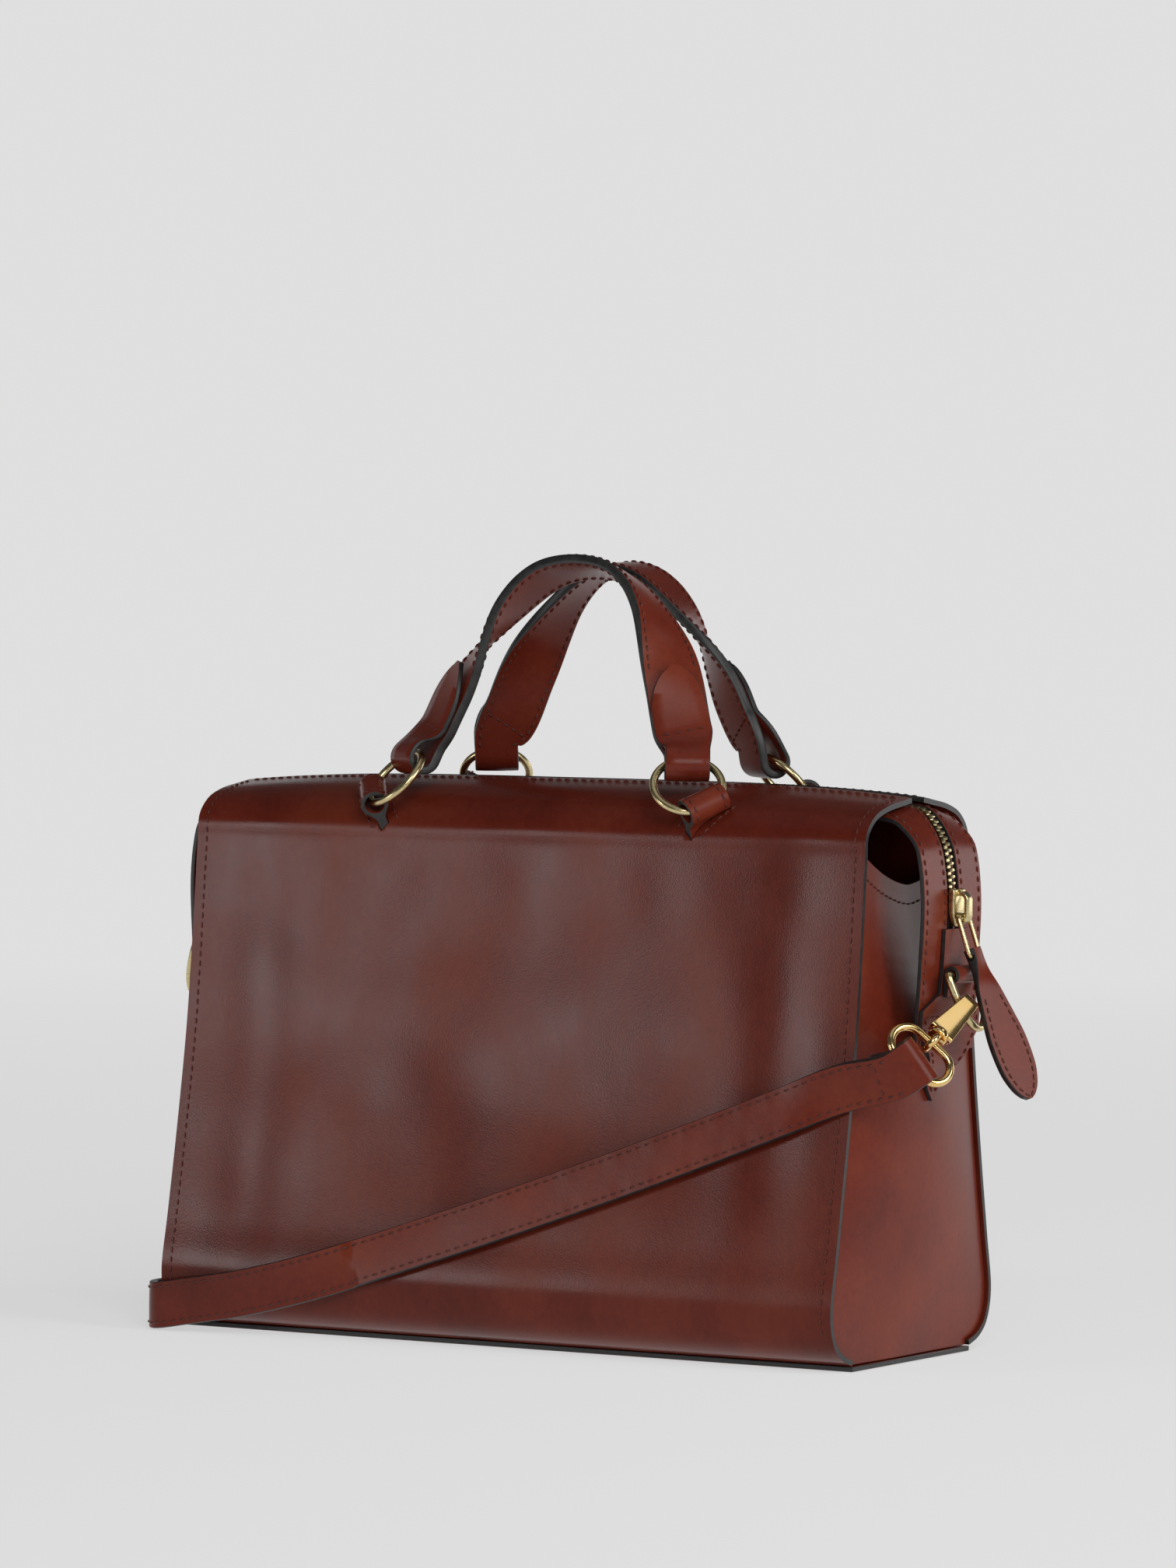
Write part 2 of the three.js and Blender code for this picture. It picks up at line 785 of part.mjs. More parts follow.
function pullGeometry() {
  const down = vec(Math.sin(pullSwing), 0.08, -Math.cos(pullSwing)).normalize();
  const start = bailFoot.clone().addScaledVector(down, -pullHole - 1.6);
  const stations = pullRows.map(({ down: share, wide: part }) => {
    const wide = across.clone().lerp(pullAcross, ease(share, 0.05, 0.3));
    wide.addScaledVector(down, -wide.dot(down)).normalize();
    return {
      at: start.clone().addScaledVector(down, share * pullLength),
      across: wide,
      face: vec(0, 0, 0).crossVectors(down, wide),
      width: part * pullWidth,
      wall: pullWall + 1.6 * (1 - ease(share, 0, 0.2)),
    };
  });
  const bore = new THREE.CylinderGeometry(pullHole, pullHole, 30, 8);
  bore.applyMatrix4(frameMatrix(vec(1, 0, 0), across, vec(0, 0, 1), bailFoot));
  return geometryOf(solidOf(ribbon(stations)).subtract(solidOf(bore)));
}

place("zip_pull", pullGeometry(), chestnut);

// Side hardware, made once for the right end and turned half round for the left

const tabClear = 0.3;

// A side tab: a neck between the strips that widens into a point over their ends.
const tabRows = [
  { drop: tabTop, half: tabNeck / 2 },
  { drop: mix(tabTop, tabFlare, 0.5), half: tabNeck / 2 },
  { drop: tabFlare - 6, half: tabNeck / 2 + 1 },
  { drop: tabFlare, half: bandWidth / 2 },
  { drop: tabFlare + 8, half: bandWidth / 2 },
  { drop: mix(tabFlare + 8, tabTip, 0.35), half: 0.65 * (bandWidth / 2) },
  { drop: mix(tabFlare + 8, tabTip, 0.7), half: 0.3 * (bandWidth / 2) },
  { drop: tabTip, half: 1 },
];
const gussetX = (height) => {
  const share = shareWhere((p) => p.height >= height + 1);
  return gussetPoint(share / gussetTop, 0.5, 0).x;
};

function tabPoint(drop, y, inset) {
  const clear = tabClear + tabWall - inset;
  const height = bandTop - drop;
  const onBand = bandFrame(Math.min(drop, bandDrop - 1), clear);
  const seat = gussetX(height) + clear;
  const past = ease(drop, bandDrop, bandDrop + 15);
  const x = mix(onBand.at.x, seat, past);
  return vec(x, y, height);
}

function tabGeometry() {
  const columns = 4;
  const side = (inset) =>
    tabRows.map(({ drop, half }) =>
      Array.from({ length: columns + 1 }, (_, j) =>
        tabPoint(drop, mix(-half, half, j / columns), inset),
      ),
    );
  return wallBetween(side(0), side(tabWall));
}

// The rolled loop on the tab and the D ring whose bar it holds
const rollBore = sideWire + pieceGap;
const rollRadius = rollBore + 1.6;
const barAt = tabPoint(barDrop, 0, 0).add(vec(rollRadius + pieceGap, 0, 0));

function rollGeometry() {
  const shape = new THREE.Shape();
  const seat = -rollRadius;
  const tail = rollRadius + 5;
  const steps = 12;
  for (let i = 0; i <= steps; i++) {
    const angle = mix(-Math.PI / 2, Math.PI, i / steps);
    const x = rollRadius * Math.cos(angle);
    const z = rollRadius * Math.sin(angle);
    if (i) shape.lineTo(x, z);
    else shape.moveTo(x, z);
  }
  shape.lineTo(seat, -tail);
  shape.lineTo(seat + tabWall, -tail);
  shape.lineTo(seat + tabWall + 0.6, -rollRadius);
  shape.closePath();
  shape.holes.push(roundHole(rollBore, 10));
  const geometry = new THREE.ExtrudeGeometry(shape, {
    depth: rollWidth,
    bevelEnabled: false,
    curveSegments: 5,
  });
  geometry.translate(0, 0, -rollWidth / 2);
  return geometry.applyMatrix4(frameMatrix(vec(1, 0, 0), vec(0, 0, 1), vec(0, -1, 0), barAt));
}

const swing = radians(sideRingSwing);
const ringDown = vec(Math.sin(swing), 0, -Math.cos(swing));
const halfBar = sideRingWidth / 2 - sideWire;
const ringDeep = sideRingDepth - 2 * sideWire;

// The D's round part: an ellipse's lower half, hung from the ends of its bar.
const sideRingPoint = (angle) =>
  barAt
    .clone()
    .addScaledVector(across, -halfBar * Math.cos(angle))
    .addScaledVector(ringDown, ringDeep * Math.sin(angle));

function sideRingGeometry() {
  const path = [];
  const arc = 16;
  for (let i = 0; i <= arc; i++) path.push(sideRingPoint((Math.PI * i) / arc));
  const bar = 3;
  for (let i = 1; i < bar; i++)
    path.push(barAt.clone().addScaledVector(across, mix(halfBar, -halfBar, i / bar)));
  return wire(path, sideWire, vec(0, 0, 0).crossVectors(ringDown, across), 6);
}

// Snap hook: its own frame is x along it to the claw, y out of its broad face, z across it
const hookWireAngle = radians(41);
const hookHold = sideRingPoint(hookWireAngle);
const hookAlong = vec(0.06, 0.89, 0.45).normalize();
const hookAcross = (() => {
  const wanted = vec(0.66, 0.31, -0.68);
  return wanted.addScaledVector(hookAlong, -wanted.dot(hookAlong)).normalize();
})();
const hookOut = vec(0, 0, 0).crossVectors(hookAcross, hookAlong).normalize();
const clawRadius = clawHole + clawWall;
const clawAt = { x: hookPlate, y: -clawHole };
const clawPlay = 0.6; // the ring pulls towards the end of the claw
const hookOrigin = hookHold
  .clone()
  .addScaledVector(hookAlong, -clawAt.x - clawPlay)
  .addScaledVector(hookOut, -clawAt.y);
const hookMatrix = frameMatrix(hookAlong, hookOut, hookAcross, hookOrigin);
const pivotAt = { x: 4.2, y: -2.6 };
const pivotRadius = 1;

const arcPoints = (x, y, radius, from, to, steps) =>
  Array.from({ length: steps + 1 }, (_, i) => {
    const angle = radians(mix(from, to, i / steps));
    return [x + radius * Math.cos(angle), y + radius * Math.sin(angle)];
  });

// The body: a tapered plate that curls back under into the claw, with a lug for the gate's pin.
function hookBody() {
  const outer = arcPoints(clawAt.x, clawAt.y, clawRadius, 90, -110, 10);
  const inner = arcPoints(clawAt.x, clawAt.y, clawHole, -110, 90, 10);
  const profilePoints = [
    [0, 0], [0, hookThick * 0.8], [2, clawWall], ...outer, ...inner, [6.6, 0],
    [5.8, pivotAt.y - 1.4], [2.6, pivotAt.y - 1.4], [2.2, 0],
  ];
  const solid = solidOf(plate(profilePoints, hookWide));
  const taper = plate(
    [
      [-1, -hookWide / 2], [hookPlate + clawRadius + 1, -hookNarrow / 2],
      [hookPlate + clawRadius + 1, hookNarrow / 2], [-1, hookWide / 2],
    ],
    60,
  ).rotateX(Math.PI / 2);
  const pin = new THREE.CylinderGeometry(pivotRadius + pieceGap, pivotRadius + pieceGap, 40, 10);
  pin.rotateX(Math.PI / 2).translate(pivotAt.x, pivotAt.y, 0);
  const gateSlot = new THREE.BoxGeometry(8, 6, gateWidth + 2 * pieceGap);
  gateSlot.translate(pivotAt.x + 0.4, pivotAt.y - 0.4, 0);
  return geometryOf(
    solid.intersect(solidOf(taper)).subtract(solidOf(gateSlot)).subtract(solidOf(pin)),
  );
}

const gateWidth = 3.6;

// The gate: a lever from its pin to the inside of the claw's tip, with a thumb piece.
function hookGate() {
  const tip = [clawAt.x - 3.4, clawAt.y - clawHole - 0.45 * clawWall];
  const lever = [
    [pivotAt.x - 1.4, pivotAt.y + 1.2], [pivotAt.x + 1.6, pivotAt.y + 1.3],
    [tip[0], tip[1] + gateThick / 2], [tip[0], tip[1] - gateThick / 2],
    [pivotAt.x + 8.6, pivotAt.y - 5.6], [pivotAt.x + 8, pivotAt.y - 7.4],
    [pivotAt.x + 5.6, pivotAt.y - 7.2], [pivotAt.x + 4.8, pivotAt.y - 4],
    [pivotAt.x - 1.4, pivotAt.y - 1.3],
  ];
  const pin = new THREE.CylinderGeometry(pivotRadius, pivotRadius, hookWide * 0.86, 10);
  pin.rotateX(Math.PI / 2).translate(pivotAt.x, pivotAt.y, 0);
  return geometryOf(solidOf(plate(lever, gateWidth)).add(solidOf(pin)));
}

// Swivel: a collar and post at the hook's wide end, and the eye that the link passes through
const eyeRadius = 3.4;
const eyeWire = 1.3;
const collarRadius = 3.8;
const collarLength = 3;
const eyeAt = -(pieceGap + collarLength + eyeRadius + 0.4);

function swivelGeometry() {
  const post = new THREE.CylinderGeometry(collarRadius, collarRadius * 0.85, collarLength, 12);
  post.rotateZ(-Math.PI / 2).translate(-pieceGap - collarLength / 2, clawWall / 2, 0);
  const eye = new THREE.TorusGeometry(eyeRadius, eyeWire, 8, 14);
  eye.translate(eyeAt, clawWall / 2, 0);
  return geometryOf(solidOf(post).add(solidOf(eye)));
}

// The link between the hook and the strap: an oval of round wire
const eyePlace = vec(eyeAt - 0.2, clawWall / 2, 0).applyMatrix4(hookMatrix);
const linkShort = vec(-0.22, -0.77, -0.6).normalize();
const linkLong = (() => {
  const wanted = hookAcross.clone();
  return wanted.addScaledVector(linkShort, -wanted.dot(linkShort)).normalize();
})();
const linkCentre = eyePlace.clone().addScaledVector(linkShort, linkWidth / 2 - linkWire);
const linkFacing = vec(0, 0, 0).crossVectors(linkLong, linkShort).normalize();

function linkGeometry() {
  const corner = linkWidth / 2 - linkWire;
  const path = roundedPath(
    linkCentre, linkLong, linkShort, linkLength - 2 * linkWire, 2 * corner, corner, 4,
  );
  return wire(path, linkWire, linkFacing, 6);
}

for (const [hand, turn] of [["right", 0], ["left", Math.PI]]) {
  const end = new THREE.Group();
  end.rotation.z = turn;
  bag.add(end);
  place(`gusset_${hand}`, gussetGeometry(), chestnut, end);
  place(`side_tab_${hand}`, tabGeometry(), chestnut, end);
  place(`side_loop_${hand}`, rollGeometry(), chestnutDark, end);
  place(`side_ring_${hand}`, sideRingGeometry(), paleBrass, end);
  place(`hook_body_${hand}`, hookBody(), gold, end).applyMatrix4(hookMatrix);
  place(`hook_gate_${hand}`, hookGate(), gold, end).applyMatrix4(hookMatrix);
  place(`hook_swivel_${hand}`, swivelGeometry(), gold, end).applyMatrix4(hookMatrix);
  place(`hook_link_${hand}`, linkGeometry(), gold, end);
}

// Handles

const handleCrown = bagHeight + handleRise;
const archHeights = [0.22, 0.42, 0.61, 0.78, 0.91, 0.975];

function handleGeometry(sideY, lean, round) {
  const right = ringFrame(1, sideY);
  const hub = right.centre.clone().addScaledVector(right.up, ringRadius - ringBow);
  const rising = vec(-0.32, (-sideY * lean) / (handleCrown - hub.z), 0.9);
  rising.addScaledVector(right.across, -rising.dot(right.across)).normalize();
  const inward = vec(0, 0, 0).crossVectors(right.across, rising).multiplyScalar(sideY);
  const foot = hub.clone().addScaledVector(inward, handleWall / 2 + loopBore);
  const span = foot.x - handleShift;
  const rise = handleCrown - foot.z;
  const archPoint = (up) =>
    vec(handleShift + (1 - up) ** round * span, foot.y - sideY * lean * up, foot.z + rise * up);
  const mirrored = (v) => vec(2 * handleShift - v.x, v.y, v.z);
  const half = [foot, foot.clone().addScaledVector(rising, 0.1 * rise), ...archHeights.map(archPoint)];
  const path = [...half, archPoint(1), ...half.map(mirrored).reverse()];
  const crownAcross = vec(0, -rise, -sideY * lean).normalize();
  const turned = (at) => {
    const footAcross = quarter(ringAcross, Math.sign(at.x - handleShift) || 1, sideY);
    return footAcross
      .multiplyScalar(sideY)
      .lerp(crownAcross, ease((at.z - foot.z) / rise, 0.3, 0.97));
  };
  const count = 34;
  const main = stationsAlong(path, evenShares(count), turned, handleWidth, handleWall);
  main.forEach((station, i) => {
    const run = 6 * Math.min(i, count - i);
    station.width = mix(foldWidth, handleWidth, ease(run, 4, 16));
  });
  const tabWidth = (share) => {
    const round = Math.max(0, (share - 0.5) / 0.51);
    return mix(foldWidth, handleWidth - 0.6, ease(share, 0.1, 0.35)) * Math.sqrt(1 - round ** 2);
  };
  const tailOf = (stations) =>
    foldedTail(stations, handleTab, loopBore - pieceGap, tabLayer, tabWidth);
  const end = tailOf([...main].reverse());
  return ribbon([...tailOf(main), ...main, ...end.reverse()]);
}

place("handle_front", handleGeometry(-1, frontLean, frontRound), chestnut);
place("handle_rear", handleGeometry(1, rearLean, rearRound), chestnut);

// Shoulder strap

// Where the strap runs on the front: across is a share of half the width, up of the height.
const frontRoute = [
  { across: 0.99, up: 0.499 },
  { across: 0.8, up: 0.446 },
  { across: 0.46, up: 0.353 },
  { across: 0.13, up: 0.268 },
  { across: -0.19, up: 0.19 },
  { across: -0.52, up: 0.115 },
  { across: -0.74, up: 0.076 },
  { across: -0.9, up: 0.056 },
];
// On the back it comes up again to the left hook.
const rearRoute = [
  { across: -0.12, up: 0.18 },
  { across: 0.2, up: 0.26 },
  { across: 0.6, up: 0.37 },
  { across: 0.99, up: 0.499 },
];

const halfTurn = (v) => vec(-v.x, -v.y, v.z);
const linkBow = 0.35; // the link's straight side is a little shorter than the strap is wide
const strapBore = linkWire + pieceGap + linkBow + 0.25;
const strapHub = linkCentre
  .clone()
  .addScaledVector(linkShort, linkWidth / 2 - linkWire - linkBow);
const strapLeave = (() => {
  const wanted = vec(-0.81, -0.44, -0.38);
  return wanted.addScaledVector(linkLong, -wanted.dot(linkLong)).normalize();
})();
const strapOut = vec(0, 0, 0).crossVectors(strapLeave, linkLong);
const strapGrip = strapWall / 2 + strapBore;

function strapGeometry() {
  const onFace = (sideX, { across: share, up }) => {
    const height = up * bagHeight;
    const depth = faceDepth(Math.max(height, 0.1 * bagHeight)) + strapClear + strapWall / 2;
    return vec((sideX * share * bagWidth) / 2, -sideX * depth, height);
  };
  const start = strapHub.clone().addScaledVector(strapOut, strapGrip);
  const end = halfTurn(strapHub.clone().addScaledVector(strapOut, -strapGrip));
  const half = bagWidth / 2;
  const full = bulgeDepth / 2;
  const onFloor = strapWidth / 2 + 0.3;
  const path = [
    start,
    start.clone().addScaledVector(strapLeave, 9),
    ...frontRoute.map((place) => onFace(1, place)),
    vec(-half - 0.5, -full - 2.6, onFloor),
    vec(-half - 5.5, -full + 3, onFloor),
    vec(-half - 7.5, -full + 16, onFloor),
    vec(-half - 7.5, 0, onFloor),
    vec(-half - 7, full, onFloor),
    vec(-half - 2, full + 15, onFloor),
    vec(-half + 12, full + 23, onFloor),
    vec(-half + 40, full + 25.5, onFloor),
    vec(0, full + 26, onFloor),
    vec(60, full + 26, onFloor),
    vec(72, full + 21, onFloor + 0.5),
    vec(75, full + 14, onFloor + 1.5),
    vec(69, full + 7, onFloor + 3),
    vec(54, full + 4, onFloor + 8),
    ...rearRoute.map((place) => onFace(-1, place)),
    end.clone().addScaledVector(halfTurn(strapLeave), 9),
    end,
  ];
  const heldAcross = linkLong.clone().negate();
  const turned = (at, share) => {
    const held = share < 0.5 ? heldAcross : halfTurn(heldAcross);
    const slope = at.z > 30 ? (faceDepth(at.z - 6) - faceDepth(at.z + 6)) / 12 : 0;
    return vec(0, -Math.sign(at.y) * slope, 1)
      .normalize()
      .lerp(held, ease(Math.abs(2 * share - 1), 0.93, 0.985));
  };
  const ends = [0, 0.005, 0.01, 0.015];
  const middle = evenShares(84).map((share) => mix(0.024, 0.976, share));
  const shares = [...ends, ...middle, ...ends.map((share) => 1 - share).reverse()];
  const main = stationsAlong(path, shares, turned, strapWidth, strapWall);
  const tailOf = (stations) =>
    foldedTail(stations, strapTail, strapBore - pieceGap, strapWall, () => strapWidth);
  const far = tailOf([...main].reverse());
  return ribbon([...tailOf(main), ...main, ...far.reverse()]);
}

place("shoulder_strap", strapGeometry(), chestnut);

export default bag;
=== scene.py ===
import bpy, bmesh, math
from mathutils import Matrix, Vector, noise


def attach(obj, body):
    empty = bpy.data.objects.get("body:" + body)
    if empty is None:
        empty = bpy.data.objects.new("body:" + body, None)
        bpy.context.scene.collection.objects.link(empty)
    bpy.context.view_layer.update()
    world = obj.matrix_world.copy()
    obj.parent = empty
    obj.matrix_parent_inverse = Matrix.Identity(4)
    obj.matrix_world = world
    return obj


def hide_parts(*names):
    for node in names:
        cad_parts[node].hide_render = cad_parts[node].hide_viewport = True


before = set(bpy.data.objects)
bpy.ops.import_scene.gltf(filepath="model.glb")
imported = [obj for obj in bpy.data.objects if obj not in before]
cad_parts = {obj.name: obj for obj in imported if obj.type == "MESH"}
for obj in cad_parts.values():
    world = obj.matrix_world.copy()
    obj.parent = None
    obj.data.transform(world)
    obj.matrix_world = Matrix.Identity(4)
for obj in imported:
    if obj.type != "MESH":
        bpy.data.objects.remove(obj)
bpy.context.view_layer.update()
bpy.ops.object.select_all(action="DESELECT")
mm = 0.001
print("frame loaded")

# camera, fitted to the photo (1512 x 2016)
view = {"azimuth": 30.3, "elevation": 1.72, "roll": 0.58, "focalPixels": 9700.0,
        "target": (0.0042, 0.0, 0.2136), "distance": 2.90}


def addCamera():
    az, el, roll = (math.radians(view[k]) for k in ("azimuth", "elevation", "roll"))
    back = Vector((math.sin(az) * math.cos(el), -math.cos(az) * math.cos(el), math.sin(el)))
    right = (-back).cross(Vector((0, 0, 1))).normalized()
    up = right.cross(-back)
    turned = math.cos(roll) * right + math.sin(roll) * up
    raised = -math.sin(roll) * right + math.cos(roll) * up
    place = Matrix((turned, raised, back)).transposed().to_4x4()
    place.translation = Vector(view["target"]) + back * view["distance"]
    data = bpy.data.cameras.new("camera")
    data.sensor_fit = "VERTICAL"
    data.sensor_height = 36
    data.lens = 36 * view["focalPixels"] / 2016
    data.clip_end = 50
    camera = bpy.data.objects.new("camera", data)
    camera.matrix_world = place
    bpy.context.collection.objects.link(camera)
    bpy.context.scene.camera = camera


addCamera()

# sizes in millimetres, the same as the solids'
bag = {"width": 295, "height": 212, "topCrown": 4, "baseDepth": 94, "bulgeDepth": 129,
       "shoulderDepth": 81, "mouthGap": 10, "wall": 2, "baseWall": 2, "gussetWall": 1.8,
       "gussetInset": 1.5, "gussetSwell": 7.5, "gussetDip": 12, "gap": 0.3}
zipSizes = {"width": 46, "wall": 1.8, "proud": 15.5, "drop": 92, "chain": 8.4, "reach": 46,
            "slider": 37.5, "toothPitch": 2.5, "toothLength": 2.7, "toothThick": 1.5}
footHeight = bag["baseWall"] + bag["gap"]


def mix(a, b, t):
    return a + (b - a) * t


def ease(x, low, high):
    t = min(max((x - low) / (high - low), 0), 1)
    return t * t * (3 - 2 * t)


class Path:
    def __init__(self, points, fine=16):
        points = [Vector(p) for p in points]
        count = len(points)
        dense = []
        for i in range(count - 1):
            p1, p2 = points[i], points[i + 1]
            p0 = points[i - 1] if i else 2 * p1 - p2
            p3 = points[i + 2] if i + 2 < count else 2 * p2 - p1
            d1 = max((p2 - p1).length ** 0.5, 1e-4)
            d0 = (p1 - p0).length ** 0.5 or d1
            d2 = (p3 - p2).length ** 0.5 or d1
            t1 = ((p1 - p0) / d0 - (p2 - p0) / (d0 + d1) + (p2 - p1) / d1) * d1
            t2 = ((p2 - p1) / d1 - (p3 - p1) / (d1 + d2) + (p3 - p2) / d2) * d1
            for k in range(fine):
                t = k / fine
                dense.append(p1 + t1 * t + (3 * (p2 - p1) - 2 * t1 - t2) * t ** 2
                             + (2 * (p1 - p2) + t1 + t2) * t ** 3)
        dense.append(points[-1])
        self.points = dense
        self.runs = [0.0]
        for a, b in zip(dense, dense[1:]):
            self.runs.append(self.runs[-1] + (b - a).length)
        self.length = self.runs[-1]

    def at(self, share):
        wanted = min(max(share, 0), 1) * self.length
        low, high = 0, len(self.runs) - 1
        while high - low > 1:
            middle = (low + high) // 2
            if self.runs[middle] <= wanted:
                low = middle
            else:
                high = middle
        span = self.runs[high] - self.runs[low]
        return self.points[low].lerp(self.points[high], (wanted - self.runs[low]) / span if span else 0)

    def along(self, share):
        step = 0.002
        return (self.at(min(share + step, 1)) - self.at(max(share - step, 0))).normalized()


# the panel's profile in three runs: depth at both ends, then (share of that step, share of the height)
profileRuns = [
    (bag["baseDepth"] / 2, bag["bulgeDepth"] / 2,
     [(0, 0), (0.43, 0.012), (0.77, 0.034), (0.95, 0.066), (1, 0.103)]),
    (bag["bulgeDepth"] / 2, bag["shoulderDepth"] / 2,
     [(0.15, 0.194), (0.41, 0.356), (0.69, 0.561), (0.89, 0.8), (0.96, 0.895), (1, 0.938)]),
    (bag["shoulderDepth"] / 2, bag["mouthGap"] / 2,
     [(0.17, 0.968), (0.44, 0.985), (0.8, 0.995), (1, 1)]),
]
profile = Path([(0, mix(a, b, out), mix(footHeight, bag["height"], up))
                for a, b, rows in profileRuns for out, up in rows])
# hollows in the panels: place across and up, half width, half height, depth
hollows = [(0.05, 0.5, 0.5, 0.26, 2.6), (-0.78, 0.45, 0.1, 0.4, 1.2), (0.8, 0.55, 0.09, 0.35, 1.2)]


def hollowAt(across, up):
    rim = 1 - across ** 6
    return sum(rim * deep * math.exp(-((across - x) / wide) ** 2 - ((up - z) / tall) ** 2)
               for x, z, wide, tall, deep in hollows)


def crownAt(across, depth):
    return bag["topCrown"] * (1 - across ** 4) * max(0, 1 - (2 * depth / bag["shoulderDepth"]) ** 2)


def profileAt(share, inset):
    point, along = profile.at(share), profile.along(share)
    return point.y - along.z * inset, point.z + along.y * inset


def shareWhere(test, steps=400):
    for i in range(steps + 1):
        if test(*profileAt(i / steps, 0)):
            return i / steps
    return 1


def topAt(x, depth):
    share = shareWhere(lambda d, h: h > 0.9 * bag["height"] and d <= depth)
    return profileAt(share, 0)[1] + crownAt(min(1, abs(2 * x) / bag["width"]), depth)


faceTable = [profileAt(i / 400, 0) for i in range(401)]


def faceDepth(height):
    for depth, h in faceTable:
        if h >= height:
            return depth
    return faceTable[-1][0]


# tools


def selectOnly(piece):
    bpy.ops.object.select_all(action="DESELECT")
    bpy.context.view_layer.objects.active = piece
    piece.select_set(True)


def named(name, *slots):
    piece = bpy.context.object
    piece.name = name
    piece.data.name = name
    piece.data.materials.clear()
    for slotMaterial in slots:
        piece.data.materials.append(slotMaterial)
    return piece


def applied(piece, kind, **settings):
    selectOnly(piece)
    modifier = piece.modifiers.new("step", kind)
    for key, value in settings.items():
        setattr(modifier, key, value)
    bpy.ops.object.modifier_apply(modifier="step")
    return piece


def softened(piece, width, segments=3, angle=30, smooth=40):
    applied(piece, "BEVEL", width=width * mm, segments=segments, limit_method="ANGLE",
            angle_limit=math.radians(angle))
    bpy.ops.object.shade_smooth_by_angle(angle=math.radians(smooth))
    return piece


def bevelled(piece, width, angle=50):
    return softened(piece, width, 2, angle, 35)


def joined(piece, other, operation="UNION"):
    applied(piece, "BOOLEAN", operation=operation, object=other, solver="EXACT")
    bpy.data.objects.remove(other)
    return piece


def merged(piece, other):
    selectOnly(piece)
    other.select_set(True)
    bpy.ops.object.join()
    return piece


def settle(piece, place):
    matrix = place.copy()
    matrix.translation = place.translation * mm
    piece.data.transform(matrix @ piece.matrix_world)
    piece.matrix_world = Matrix.Identity(4)
    return piece


def axes(x, y, z, at):
    place = Matrix((x, y, z)).transposed().to_4x4()
    place.translation = at
    return place


def rod(name, radius, length, place, *slots, sides=40):
    bpy.ops.mesh.primitive_cylinder_add(vertices=sides, radius=radius * mm, depth=length * mm)
    return settle(named(name, *slots), place)


def torus(name, major, minor, place, *slots):
    bpy.ops.mesh.primitive_torus_add(major_radius=major * mm, minor_radius=minor * mm, major_segments=72,
                                     minor_segments=18)
    piece = settle(named(name, *slots), place)
    bpy.ops.object.shade_smooth()
    return piece


def bentWire(name, path, radius, *slots, closed=True):
    data = bpy.data.curves.new(name, "CURVE")
    data.dimensions = "3D"
    line = data.splines.new("POLY")
    line.points.add(len(path) - 1)
    for point, at in zip(line.points, path):
        point.co = (*(at * mm), 1)
    line.use_cyclic_u = closed
    data.bevel_depth = radius * mm
    data.bevel_resolution = 5
    piece = bpy.data.objects.new(name, data)
    bpy.context.collection.objects.link(piece)
    selectOnly(piece)
    bpy.ops.object.convert(target="MESH")
    piece = named(name, *slots)
    bpy.ops.object.mode_set(mode="EDIT")
    bpy.ops.mesh.select_all(action="SELECT")
    bpy.ops.mesh.remove_doubles(threshold=0.00001)
    bpy.ops.mesh.normals_make_consistent(inside=False)
    bpy.ops.object.mode_set(mode="OBJECT")
    bpy.ops.object.shade_smooth()
    return piece


def closeUp():
    # ends an edit of extruded and spun faces: the ones left inside go, the rest face outwards
    bpy.ops.mesh.select_all(action="SELECT")
    bpy.ops.mesh.remove_doubles(threshold=0.000001)
    bpy.ops.mesh.select_all(action="DESELECT")
    bpy.ops.mesh.select_mode(type="FACE")
    bpy.ops.mesh.select_interior_faces()
    bpy.ops.mesh.delete(type="FACE")
    bpy.ops.mesh.select_all(action="SELECT")
    bpy.ops.mesh.fill_holes(sides=0)
    bpy.ops.mesh.normals_make_consistent(inside=False)
    bpy.ops.mesh.select_mode(type="VERT")
    bpy.ops.object.mode_set(mode="OBJECT")
    data = bpy.context.object.data
    shape = bmesh.new()
    shape.from_mesh(data)
    if shape.calc_volume(signed=True) < 0:
        data.flip_normals()
    shape.free()


def extruded(name, outline, width, *slots):
    mesh = bpy.data.meshes.new(name)
    mesh.from_pydata([Vector((x, y, -width / 2)) * mm for x, y in outline], [], [tuple(range(len(outline)))])
    piece = placed(name, mesh, slots)
    bpy.ops.object.mode_set(mode="EDIT")
    bpy.ops.mesh.select_all(action="SELECT")
    bpy.ops.mesh.extrude_region_move(TRANSFORM_OT_translate={"value": (0, 0, width * mm)})
    bpy.ops.mesh.select_all(action="SELECT")
    bpy.ops.mesh.normals_make_consistent(inside=False)
    bpy.ops.object.mode_set(mode="OBJECT")
    return piece


def twin(piece, name):
    other = bpy.data.objects.new(name, piece.data.copy())
    other.data.name = name
    other.data.transform(Matrix.Rotation(math.pi, 4, "Z"))
    bpy.context.collection.objects.link(other)
    return other


def finishPair(piece, stem, slotName="chestnut_leather", body=None):
    left = twin(piece, piece.name + "_left")
    finish(piece, stem + "_right", body=(body + "_right") if body else "bag", slotName=slotName)
    finish(left, stem + "_left", body=(body + "_left") if body else "bag", slotName=slotName)


def placed(name, mesh, slots):
    piece = bpy.data.objects.new(name, mesh)
    bpy.context.collection.objects.link(piece)
    for slotMaterial in slots:
        mesh.materials.append(slotMaterial)
    selectOnly(piece)
    return piece


